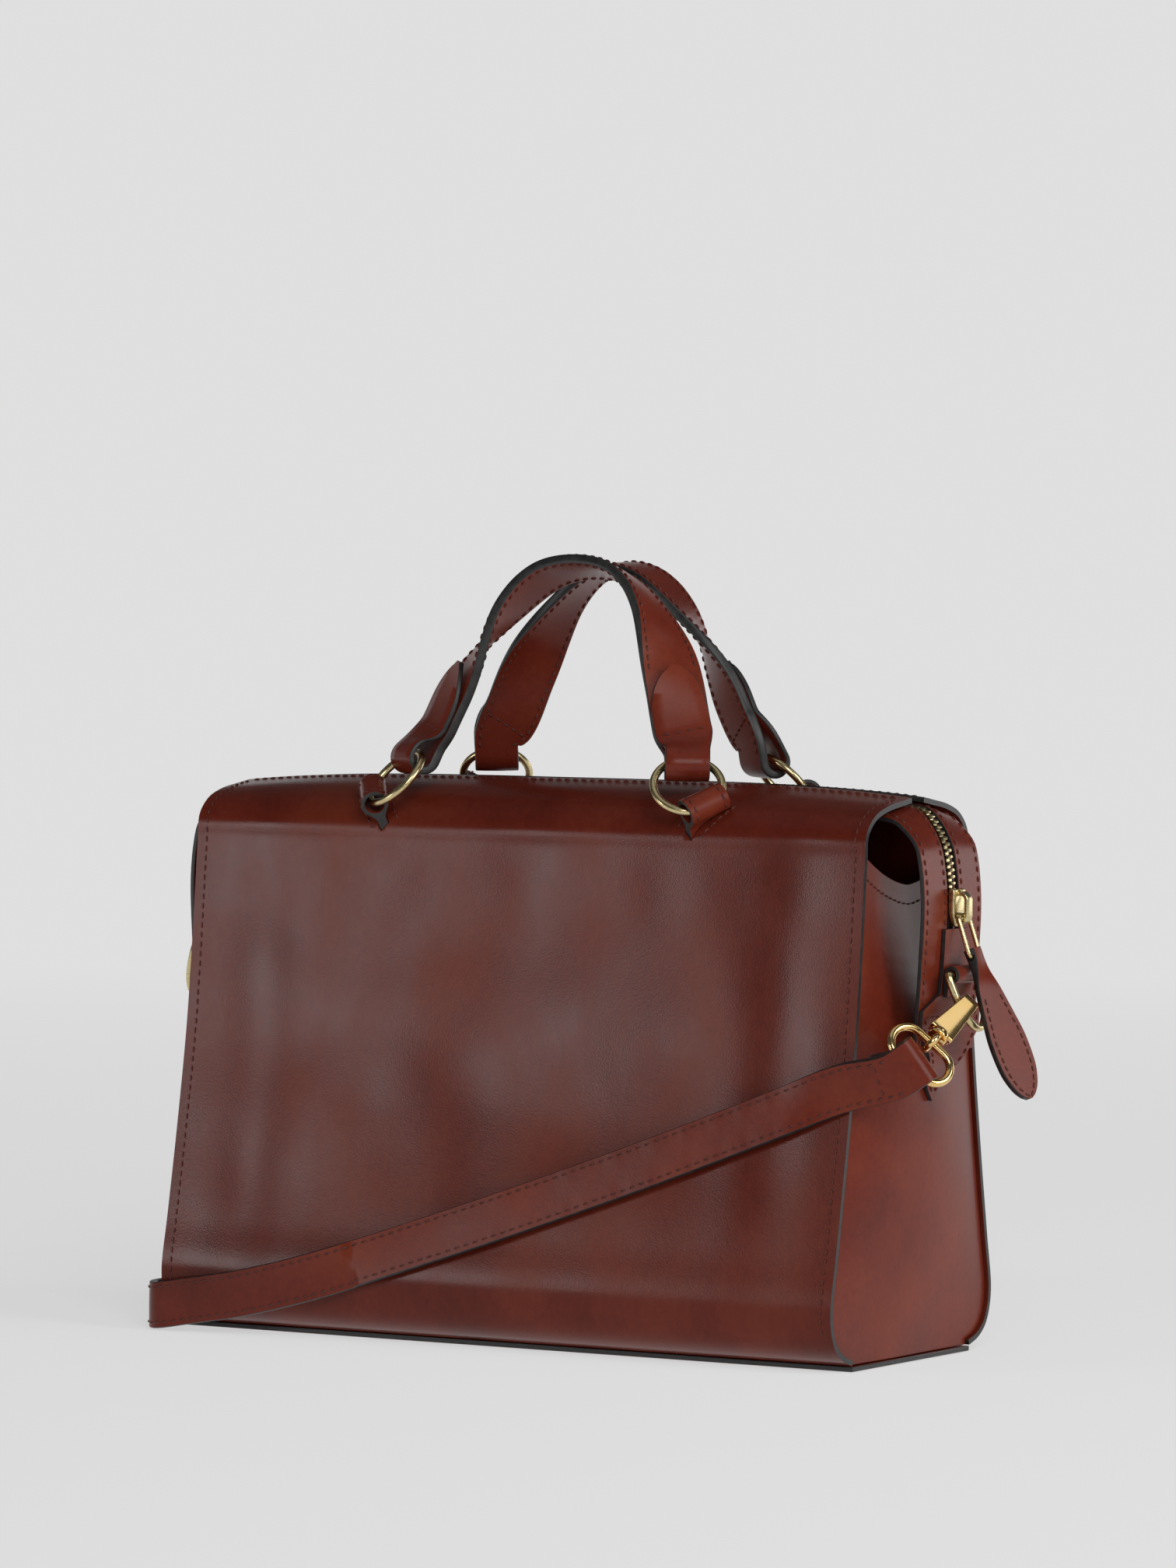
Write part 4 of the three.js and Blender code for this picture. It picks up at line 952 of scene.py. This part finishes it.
bailTop = (sliderAt + sliderOut * (slider["plate"] + (slider["rise"] - 2) / 2)
           + sliderDown * (0.9 * slider["length"] / 2 - 2 - bail["wire"] - 2 * bag["gap"]))
swing = math.radians(bail["swing"])
bailDown = Vector((math.sin(swing), 0, -math.cos(swing)))
bailPath = roundedPath(bailTop + bailDown * (bail["length"] / 2 - bail["wire"]), bailDown, yAxis,
                       bail["length"] - 2 * bail["wire"], bail["width"] - 2 * bail["wire"], 2)
finish(bentWire("zip_bail_brass", bailPath, bail["wire"], paleBrass), "zip_bail", slotName="pale_brass")
bailFoot = bailTop + bailDown * (bail["length"] - 2 * bail["wire"])

# leather pull, two layers stitched round their edge
pullRows = Path([(0, 0.4, 0), (0.12, 0.44, 0), (0.25, 0.6, 0), (0.45, 0.84, 0), (0.62, 1, 0), (0.78, 0.97, 0),
                 (0.9, 0.74, 0), (0.97, 0.42, 0), (1, 0.12, 0)])
pullSwing = math.radians(pull["swing"])
pullDown = Vector((math.sin(pullSwing), 0.08, -math.cos(pullSwing))).normalized()
pullStart = bailFoot - pullDown * (bail["wire"] + bag["gap"] + 0.4 + 1.6)
pullTurned = Vector((math.cos(math.radians(pull["turn"])), math.sin(math.radians(pull["turn"])), 0))


def pullStation(share, wide):
    across = yAxis.lerp(pullTurned, ease(share, 0.05, 0.3))
    across = (across - pullDown * across.dot(pullDown)).normalized()
    wall = pull["wall"] + 1.6 * (1 - ease(share, 0, 0.2))
    return [pullStart + pullDown * (share * pull["length"]), across, pullDown.cross(across),
            wide * pull["width"], wall]


pullPoints = [pullRows.at(i / 70) for i in range(71)]
pullPiece = ribbon("zip_pull_leather", [pullStation(p.x, max(p.y, 0.12)) for p in pullPoints], strapSlots)
bore = rod("bore", bail["wire"] + bag["gap"] + 0.4, 30,
           axes(Vector((1, 0, 0)), Vector((0, 0, -1)), yAxis, bailFoot), edgePaint)
finish(joined(pullPiece, bore, "DIFFERENCE"), "zip_pull")
pullLines = []
for side in (-1, 1):
    for edge in (-1, 1):
        line = []
        for p in pullPoints[16:68]:
            at, across, face, width, wall = pullStation(p.x, p.y)
            reach = max(width / 2 - 2.1, 0)
            line.append((at + across * (edge * reach) + face * side * (wall / 2 + 0.1), face * side))
        pullLines.append(line)
stitchRows("zip_pull_stitches", pullLines, thread, 3.2)
print("zip pull made")

# side tabs, rolled loops and D rings
tab = {"wall": 1.6, "neck": 18, "top": 46, "flare": 76, "tip": 111, "clear": 0.3, "bar": 63, "roll": 19,
       "ringWidth": 27, "ringDepth": 24, "swing": 19, "wire": 1.5}
wide = zipSizes["width"] / 2
tabRows = [(tab["top"], tab["neck"] / 2), (mix(tab["top"], tab["flare"], 0.5), tab["neck"] / 2),
           (tab["flare"] - 6, tab["neck"] / 2 + 1), (tab["flare"], wide), (tab["flare"] + 8, wide),
           (mix(tab["flare"] + 8, tab["tip"], 0.35), 0.65 * wide),
           (mix(tab["flare"] + 8, tab["tip"], 0.7), 0.3 * wide), (tab["tip"], 1)]


def gussetX(height):
    share = shareWhere(lambda d, h: h >= height + 1)
    return gussetPoint(share / gussetTop, 0.5, 0).x


def tabPoint(drop, y, inset):
    clear = tab["clear"] + tab["wall"] - inset
    onBand = bandFrame(min(drop, zipSizes["drop"] - 1), clear)[0]
    past = ease(drop, zipSizes["drop"], zipSizes["drop"] + 15)
    return Vector((mix(onBand.x, gussetX(bandTop - drop) + clear if past else 0, past), y, bandTop - drop))


def tabHalf(drop):
    for (low, a), (high, b) in zip(tabRows, tabRows[1:]):
        if drop <= high:
            return mix(a, b, (drop - low) / (high - low))
    return tabRows[-1][1]


drops = sorted({round(mix(tab["top"], tab["tip"], i / 60), 3) for i in range(61)} | {d for d, _ in tabRows})
grids = [[[tabPoint(d, mix(-tabHalf(d), tabHalf(d), j / 10), inset) for j in range(11)] for d in drops]
         for inset in (0, tab["wall"])]
finishPair(bevelled(sheet("side_tab_leather", grids[0], grids[1], strapSlots), 0.3),
           "side_tab")
xAxis = Vector((1, 0, 0))
for side in (-1, 1):
    line = [(tabPoint(d, side * max(tabHalf(d) - 2.4, 0.2), -0.1), xAxis)
            for d in [mix(tab["flare"] + 2.4, tab["tip"] - 3, i / 40) for i in range(41)]]
    pairLines.append(line)
pairLines.append([(tabPoint(tab["flare"] + 2.6, mix(-wide + 2.4, wide - 2.4, i / 20), -0.1), xAxis)
                  for i in range(21)])

rollBore = tab["wire"] + bag["gap"]
rollRadius = rollBore + 1.6
barAt = tabPoint(tab["bar"], 0, 0) + Vector((rollRadius + bag["gap"], 0, 0))
rollOutline = [(rollRadius * math.cos(a), rollRadius * math.sin(a))
               for a in [mix(-math.pi / 2, math.pi, i / 30) for i in range(31)]]
rollOutline += [(-rollRadius, -rollRadius - 5), (-rollRadius + tab["wall"], -rollRadius - 5),
                (-rollRadius + tab["wall"] + 0.6, -rollRadius)]


def circle(radius, count=30):
    return [(radius * math.cos(2 * math.pi * i / count), radius * math.sin(2 * math.pi * i / count))
            for i in range(count)]


roll = prism("side_loop_leather", rollOutline, tab["roll"], strapSlots,
             axes(xAxis, Vector((0, 0, 1)), -yAxis, barAt), circle(rollBore))
finishPair(bevelled(roll, 0.3, angle=60), "side_loop")

ringSwing = math.radians(tab["swing"])
ringDown = Vector((math.sin(ringSwing), 0, -math.cos(ringSwing)))
halfBar, ringDeep = tab["ringWidth"] / 2 - tab["wire"], tab["ringDepth"] - 2 * tab["wire"]


def sideRingPoint(angle):
    return barAt - yAxis * (halfBar * math.cos(angle)) + ringDown * (ringDeep * math.sin(angle))


dPath = [sideRingPoint(math.pi * i / 48) for i in range(49)]
dPath += [barAt + yAxis * mix(halfBar, -halfBar, i / 12) for i in range(1, 12)]
finishPair(bentWire("side_ring_brass", dPath, tab["wire"], paleBrass), "side_ring", "pale_brass")
print("side tabs made")

# snap hook: its own frame is x along it to the claw, y out of its broad face, z across it
hook = {"plate": 22, "wide": 10.4, "narrow": 5.6, "thick": 2.6, "hole": 3.7, "play": 0.6, "gate": 2,
        "gateWidth": 3.6, "pinX": 4.2, "pinY": -2.6, "pin": 1, "angle": 41}
hookAlong = Vector((0.06, 0.89, 0.45)).normalized()
hookAcross = Vector((0.66, 0.31, -0.68))
hookAcross = (hookAcross - hookAlong * hookAcross.dot(hookAlong)).normalized()
hookOut = hookAcross.cross(hookAlong).normalized()
hookPlace = axes(hookAlong, hookOut, hookAcross,
                 sideRingPoint(math.radians(hook["angle"])) - hookAlong * (hook["plate"] + hook["play"])
                 + hookOut * hook["hole"])
clawRadius = hook["hole"] + hook["thick"]


def hookHalf(x):
    return mix(hook["wide"], hook["narrow"], (x + 1) / (hook["plate"] + clawRadius + 2)) / 2


def makeHook():
    bpy.ops.mesh.primitive_plane_add(size=1)
    body = named("hook_body_gilt", gold)
    settle(body, axes(Vector((0, 0, 1)), yAxis, -xAxis, Vector((0, hook["thick"] / 2, 0)))
           @ Matrix.Diagonal((hook["wide"] * mm, hook["thick"] * mm, 1, 1)))
    selectOnly(body)
    bpy.ops.object.mode_set(mode="EDIT")
    bpy.ops.mesh.select_all(action="SELECT")
    for _ in range(6):
        bpy.ops.mesh.extrude_region_move(TRANSFORM_OT_translate={"value": (hook["plate"] * mm / 6, 0, 0)})
    bpy.ops.mesh.spin(steps=28, angle=math.radians(200), axis=(0, 0, 1),
                      center=(hook["plate"] * mm, -hook["hole"] * mm, 0))
    closeUp()
    for vertex in body.data.vertices:
        vertex.co.z = math.copysign(hookHalf(vertex.co.x / mm) * mm, vertex.co.z)
    softened(body, 0.75)
    lugOutline = [(6.6, 0.4), (2.2, 0.4), (2.6, hook["pinY"] - 1.4), (5.8, hook["pinY"] - 1.4)]
    for side in (-1, 1):
        inner, outer = hook["gateWidth"] / 2 + bag["gap"], hookHalf(6)
        lug = extruded("lug", lugOutline, outer - inner, gold)
        settle(lug, Matrix.Translation((0, 0, side * (inner + outer) / 2)))
        softened(lug, 0.4)
        hole = rod("hole", hook["pin"] + bag["gap"], 40,
                   Matrix.Translation((hook["pinX"], hook["pinY"], 0)), gold)
        merged(body, joined(lug, hole, "DIFFERENCE"))
    settle(body, hookPlace)
    bpy.ops.object.shade_smooth_by_angle(angle=math.radians(40))
    finishPair(body, "hook_body", "polished_gold")


def makeGate():
    x, y = hook["pinX"], hook["pinY"]
    tipX, tipY = hook["plate"] - 3.4, -hook["hole"] - hook["hole"] - 0.45 * hook["thick"]
    lever = [(x - 1.4, y + 1.2), (x + 1.6, y + 1.3), (tipX, tipY + hook["gate"] / 2),
             (tipX, tipY - hook["gate"] / 2), (x + 8.6, y - 5.6), (x + 8, y - 7.4), (x + 5.6, y - 7.2),
             (x + 4.8, y - 4), (x - 1.4, y - 1.3)]
    gate = softened(extruded("hook_gate_gilt", lever, hook["gateWidth"], gold), 0.45)
    pin = rod("pin", hook["pin"], hook["wide"] * 0.86, Matrix.Translation((x, y, 0)), gold)
    joined(gate, softened(pin, 0.2))
    settle(gate, hookPlace)
    bpy.ops.object.shade_smooth_by_angle(angle=math.radians(40))
    finishPair(gate, "hook_gate", "polished_gold", "gate")


makeHook()
makeGate()
swivel = {"radius": 3.8, "length": 3, "eye": 3.4, "wire": 1.3}
eyeAt = -(bag["gap"] + swivel["length"] + swivel["eye"] + 0.4)
collar = rod("hook_swivel_gilt", swivel["radius"], swivel["length"],
             axes(Vector((0, 0, 1)), yAxis, -xAxis,
                  Vector((-bag["gap"] - swivel["length"] / 2, hook["thick"] / 2, 0))), gold, sides=56)
softened(collar, 0.6, angle=60)
joined(collar, torus("eye", swivel["eye"], swivel["wire"],
                     Matrix.Translation((eyeAt, hook["thick"] / 2, 0)), gold))
settle(collar, hookPlace)
bpy.ops.object.shade_smooth_by_angle(angle=math.radians(50))
finishPair(collar, "hook_swivel", "polished_gold")

link = {"length": 29, "width": 17, "wire": 1.6}
eyePlace = hookPlace @ Vector((eyeAt - 0.2, hook["thick"] / 2, 0))
linkShort = Vector((-0.22, -0.77, -0.6)).normalized()
linkLong = (hookAcross - linkShort * hookAcross.dot(linkShort)).normalized()
linkCentre = eyePlace + linkShort * (link["width"] / 2 - link["wire"])
corner = link["width"] / 2 - link["wire"]
linkPath = roundedPath(linkCentre, linkLong, linkShort, link["length"] - 2 * link["wire"], 2 * corner,
                       corner, 14)
finishPair(bentWire("hook_link_gilt", linkPath, link["wire"], gold), "hook_link", "polished_gold")
print("hooks made")

# handle rings and the loops that hold them
for sideY, end in ((-1, "front"), (1, "rear")):
    for sideX, hand in ((-1, "left"), (1, "right")):
        across, up, facing, centre = ringFrame(sideX, sideY)
        tail = end + "_" + hand
        ring = torus("handle_ring_brass_" + tail, ringSizes["radius"], ringSizes["wire"],
                     axes(across, up, facing, centre), paleBrass)
        finish(ring, "handle_ring_" + tail, slotName="pale_brass")
        loop = prism("handle_loop_leather_" + tail, loopOutline(0), loopSizes["width"],
                     strapSlots, loopMatrix(sideX, sideY), circle(loopBore))
        finish(bevelled(loop, 0.3, angle=60), "handle_loop_" + tail)

# handles


def handleStations(sideY, lean, roundness, count=150):
    across, up, _, centre = ringFrame(1, sideY)
    hub = centre + up * (ringSizes["radius"] - ringBow)
    rising = Vector((-0.32, -sideY * lean / (handleSizes["crown"] - hub.z), 0.9))
    rising = (rising - across * rising.dot(across)).normalized()
    inward = across.cross(rising) * sideY
    foot = hub + inward * (handleSizes["wall"] / 2 + loopBore)
    shift = handleSizes["shift"]
    span, rise = foot.x - shift, handleSizes["crown"] - foot.z

    def archPoint(high):
        return Vector((shift + (1 - high) ** roundness * span, foot.y - sideY * lean * high,
                       foot.z + rise * high))

    half = [foot, foot + rising * (0.1 * rise)]
    half += [archPoint(h) for h in (0.22, 0.42, 0.61, 0.78, 0.91, 0.975)]
    mirrored = [Vector((2 * shift - p.x, p.y, p.z)) for p in half]
    crownAcross = Vector((0, -rise, -sideY * lean)).normalized()

    def turned(at, share):
        footAcross = quarter(ringAcross, 1 if at.x >= shift else -1, sideY) * sideY
        return footAcross.lerp(crownAcross, ease((at.z - foot.z) / rise, 0.3, 0.97))

    stations, length = stationsAlong(half + [archPoint(1)] + mirrored[::-1],
                                     [i / count for i in range(count + 1)],
                                     turned, handleSizes["width"], handleSizes["wall"])
    for i, station in enumerate(stations):
        run = handleSizes["about"] * min(i, count - i) / count
        station[3] = mix(handleSizes["fold"], handleSizes["width"], ease(run, 4, 16))
    return stations, length


def handleTabWidth(share):
    rounding = max(0, (share - 0.5) / 0.51)
    return (mix(handleSizes["fold"], handleSizes["width"] - 0.6, ease(share, 0.1, 0.35))
            * math.sqrt(max(0.003, 1 - rounding ** 2)))


def edgeLines(stations, inset, sides, start=0, stop=None, lift=0.1):
    lines = []
    for edge in (-1, 1):
        for side in sides:
            lines.append([(at + across * (edge * (width / 2 - inset))
                           + face * (side * (wall / 2 * 1.05 + lift)), face * side)
                          for at, across, face, width, wall in stations[start:stop]])
    return lines


def crossLine(station, inset, side, lift=0.1):
    at, across, face, width, wall = station
    return [(at + across * mix(-width / 2 + inset, width / 2 - inset, i / 8)
             + face * (side * (wall / 2 * 1.05 + lift)), face * side) for i in range(9)]


handleLines = []
for sideY, end in ((-1, "front"), (1, "rear")):
    stations, length = handleStations(sideY, handleSizes[end + "Lean"], handleSizes[end + "Round"])
    step = length / (len(stations) - 1)
    first, last = [foldedTail(order, handleSizes["tab"], loopBore, handleSizes["tabWall"],
                              handleTabWidth, 1.6) for order in (stations, stations[::-1])]
    finish(ribbon("handle_" + end + "_leather", first + stations + last[::-1], strapSlots), "handle_" + end)
    handleLines += edgeLines(stations, 2.2, (1,), 3, -3)
    handleLines += edgeLines(stations, 2.2, (-1,), int(handleSizes["tab"] / step) + 1,
                             -int(handleSizes["tab"] / step) - 1)
    for tail in (first, last):
        crossAt = len(tail) - 14 - int(15 / step)
        handleLines.append(crossLine(tail[crossAt], 2, 1))
    for at in (int(15 / step), len(stations) - 1 - int(15 / step)):
        handleLines.append(crossLine(stations[at], 2, 1))
stitchRows("handle_stitches", handleLines, thread, 3.6)
print("handles made")

# shoulder strap
strap = {"width": 18, "wall": 3, "tail": 15, "clear": 1.7, "bow": 0.35}
frontRoute = [(0.99, 0.499), (0.8, 0.446), (0.46, 0.353), (0.13, 0.268), (-0.19, 0.19), (-0.52, 0.115),
              (-0.74, 0.076), (-0.9, 0.056)]
rearRoute = [(-0.12, 0.18), (0.2, 0.26), (0.6, 0.37), (0.99, 0.499)]


def halfTurn(v):
    return Vector((-v.x, -v.y, v.z))


def strapStations(count=520):
    bore = link["wire"] + bag["gap"] + strap["bow"] + 0.25
    hub = linkCentre + linkShort * (link["width"] / 2 - link["wire"] - strap["bow"])
    leave = Vector((-0.81, -0.44, -0.38))
    leave = (leave - linkLong * leave.dot(linkLong)).normalized()
    out = leave.cross(linkLong)
    grip = strap["wall"] / 2 + bore

    def onFace(sideX, share, up):
        height = up * bag["height"]
        depth = faceDepth(max(height, 0.1 * bag["height"])) + strap["clear"] + strap["wall"] / 2
        return Vector((sideX * share * bag["width"] / 2, -sideX * depth, height))

    start, end = hub + out * grip, halfTurn(hub - out * grip)
    half, full, low = bag["width"] / 2, bag["bulgeDepth"] / 2, strap["width"] / 2 + 0.3
    path = [start] + [onFace(1, a, b) for a, b in frontRoute]
    path.insert(1, start + (leave + 1.3 * (path[1] - start).normalized()).normalized() * 7)
    onGround = [(-half - 0.5, -full - 2.6, low), (-half - 5.5, -full + 3, low),
                (-half - 7.5, -full + 16, low), (-half - 7.5, 0, low), (-half - 7, full, low),
                (-half - 2, full + 15, low), (-half + 12, full + 23, low), (-half + 40, full + 25.5, low),
                (0, full + 26, low), (60, full + 26, low), (72, full + 21, low + 0.5),
                (75, full + 14, low + 1.5), (69, full + 7, low + 3), (54, full + 4, low + 8)]
    path += [Vector(p) for p in onGround]
    path += [onFace(-1, a, b) for a, b in rearRoute]
    path += [end + (halfTurn(leave) + 1.3 * (path[-1] - end).normalized()).normalized() * 7, end]

    def turned(at, share):
        held = -linkLong if share < 0.5 else halfTurn(-linkLong)
        slant = (faceDepth(at.z - 6) - faceDepth(at.z + 6)) / 12 if at.z > 30 else 0
        return Vector((0, -math.copysign(slant, at.y), 1)).normalized().lerp(
            held, ease(abs(2 * share - 1), 0.88, 0.985))

    stations, length = stationsAlong(path, [i / count for i in range(count + 1)], turned, strap["width"],
                                     strap["wall"])
    return stations, length, bore


stations, length, strapBore = strapStations()
step = length / (len(stations) - 1)
ends = [foldedTail(order, strap["tail"], strapBore, strap["wall"], lambda share: strap["width"])
        for order in (stations, stations[::-1])]
finish(ribbon("shoulder_strap_leather", ends[0] + stations + ends[1][::-1], strapSlots),
       "shoulder_strap")
clear = int(18 / step)
strapLines = edgeLines(stations, 2.2, (1, -1), clear, -clear)
strapLines += edgeLines(stations, 2.2, (1,), int(6 / step), clear + 1)
strapLines += edgeLines(stations, 2.2, (1,), -clear - 1, -int(6 / step))
for at in (int(14 / step), -int(14 / step) - 1):
    strapLines.append(crossLine(stations[at], 2, 1))
stitchRows("shoulder_strap_stitches", strapLines, thread, 4.1)
stitchRows("side_stitches", pairLines, thread)
turnedLines = [[(halfTurn(at), halfTurn(n)) for at, n in line] for line in pairLines]
stitchRows("side_stitches_left", turnedLines, thread)
print("shoulder strap made")

# floor and light


studio = {"floor": "#8a8a8a", "near": 0.3, "far": 2.6, "nearGlow": 0.56, "farGlow": 0.74,
          "reach": 16.0, "wall": 4.0, "world": 0.08,
          "key": 18, "sheen": 4.2, "side": 17, "glint": 2.4, "hook": 0.7, "top": 5}


def makeStage():
    # floor that turns up into a low wall behind the bag
    bpy.ops.mesh.primitive_plane_add(size=1)
    # it shines a little by itself, all of it far off and less under the bag, where shadows are seen
    material, shader, place = startMaterial("matt_studio_paper")
    away = addNode(material, "ShaderNodeVectorMath", {}, {0: place}, operation="LENGTH").outputs["Value"]
    far = addNode(material, "ShaderNodeMapRange", {"From Min": studio["near"], "From Max": studio["far"]},
                  {"Value": away}).outputs[0]
    paper = addNode(material, "ShaderNodeValToRGB", {}, {"Fac": far})
    paper.color_ramp.elements[0].color = srgb(studio["floor"])
    paper.color_ramp.elements[1].color = srgb("#000000")
    glow = addNode(material, "ShaderNodeMapRange",
                   {"To Min": studio["nearGlow"], "To Max": studio["farGlow"]}, {"Value": far}).outputs[0]
    material.node_tree.links.new(paper.outputs[0], shader.inputs["Base Color"])
    material.node_tree.links.new(glow, shader.inputs["Emission Strength"])
    ground = named("floor", material)
    shader.inputs["Emission Color"].default_value = srgb("#ffffff")
    shader.inputs["Roughness"].default_value = 0.9
    shader.inputs["Specular IOR Level"].default_value = 0
    reach = studio["reach"]
    ground.data.transform(Matrix.Diagonal((2 * reach, 2 * reach, 1, 1)))
    selectOnly(ground)
    bpy.ops.object.mode_set(mode="EDIT")
    bpy.ops.mesh.select_mode(type="EDGE")
    bpy.ops.mesh.select_all(action="DESELECT")
    bpy.ops.object.mode_set(mode="OBJECT")
    for edge in ground.data.edges:
        edge.select = all(ground.data.vertices[i].co.y > 0 for i in edge.vertices)
    bpy.ops.object.mode_set(mode="EDIT")
    bpy.ops.mesh.spin(steps=16, angle=math.radians(90), center=(0, reach, studio["wall"]), axis=(1, 0, 0))
    bpy.ops.mesh.select_all(action="SELECT")
    bpy.ops.mesh.normals_make_consistent(inside=True)
    bpy.ops.object.mode_set(mode="OBJECT")
    bpy.ops.object.shade_smooth()
    ground.data.transform(Matrix.Translation((0, 0, -0.0004))
                          @ Matrix.Rotation(math.radians(view["azimuth"]), 4, "Z"))
    world = bpy.data.worlds.new("studio")
    bpy.context.scene.world = world
    world.use_nodes = True
    shade = world.node_tree.nodes["Background"]
    shade.inputs["Color"].default_value = srgb("#e8e8ea")
    shade.inputs["Strength"].default_value = studio["world"]
    for name, at, size, power in (("key", (1.45, -1.75, 1.35), 1.0, studio["key"]),
                                  ("sheen", (-1.2, -1.8, 0.39), 0.36, studio["sheen"]),
                                  ("side", (2.1, -0.1, 0.9), 1.0, studio["side"]),
                                  ("glint", (1.0, 1.8, 0.35), 0.6, studio["glint"]),
                                  ("hook", (1.05, 0.65, 1.4), 0.5, studio["hook"]),
                                  ("top", (0, -0.4, 2.6), 2.2, studio["top"])):
        data = bpy.data.lights.new(name, "AREA")
        data.shape = "SQUARE"
        data.size = size
        data.energy = power
        lamp = bpy.data.objects.new(name, data)
        spot = Vector(at)
        lamp.matrix_world = (Matrix.Translation(spot)
                             @ (Vector((0, 0, 0.13)) - spot).to_track_quat("-Z", "Y").to_matrix().to_4x4())
        bpy.context.collection.objects.link(lamp)


makeStage()
scene = bpy.context.scene
scene.view_settings.view_transform = "Standard"
bpy.ops.object.select_all(action="DESELECT")
print("stage made")
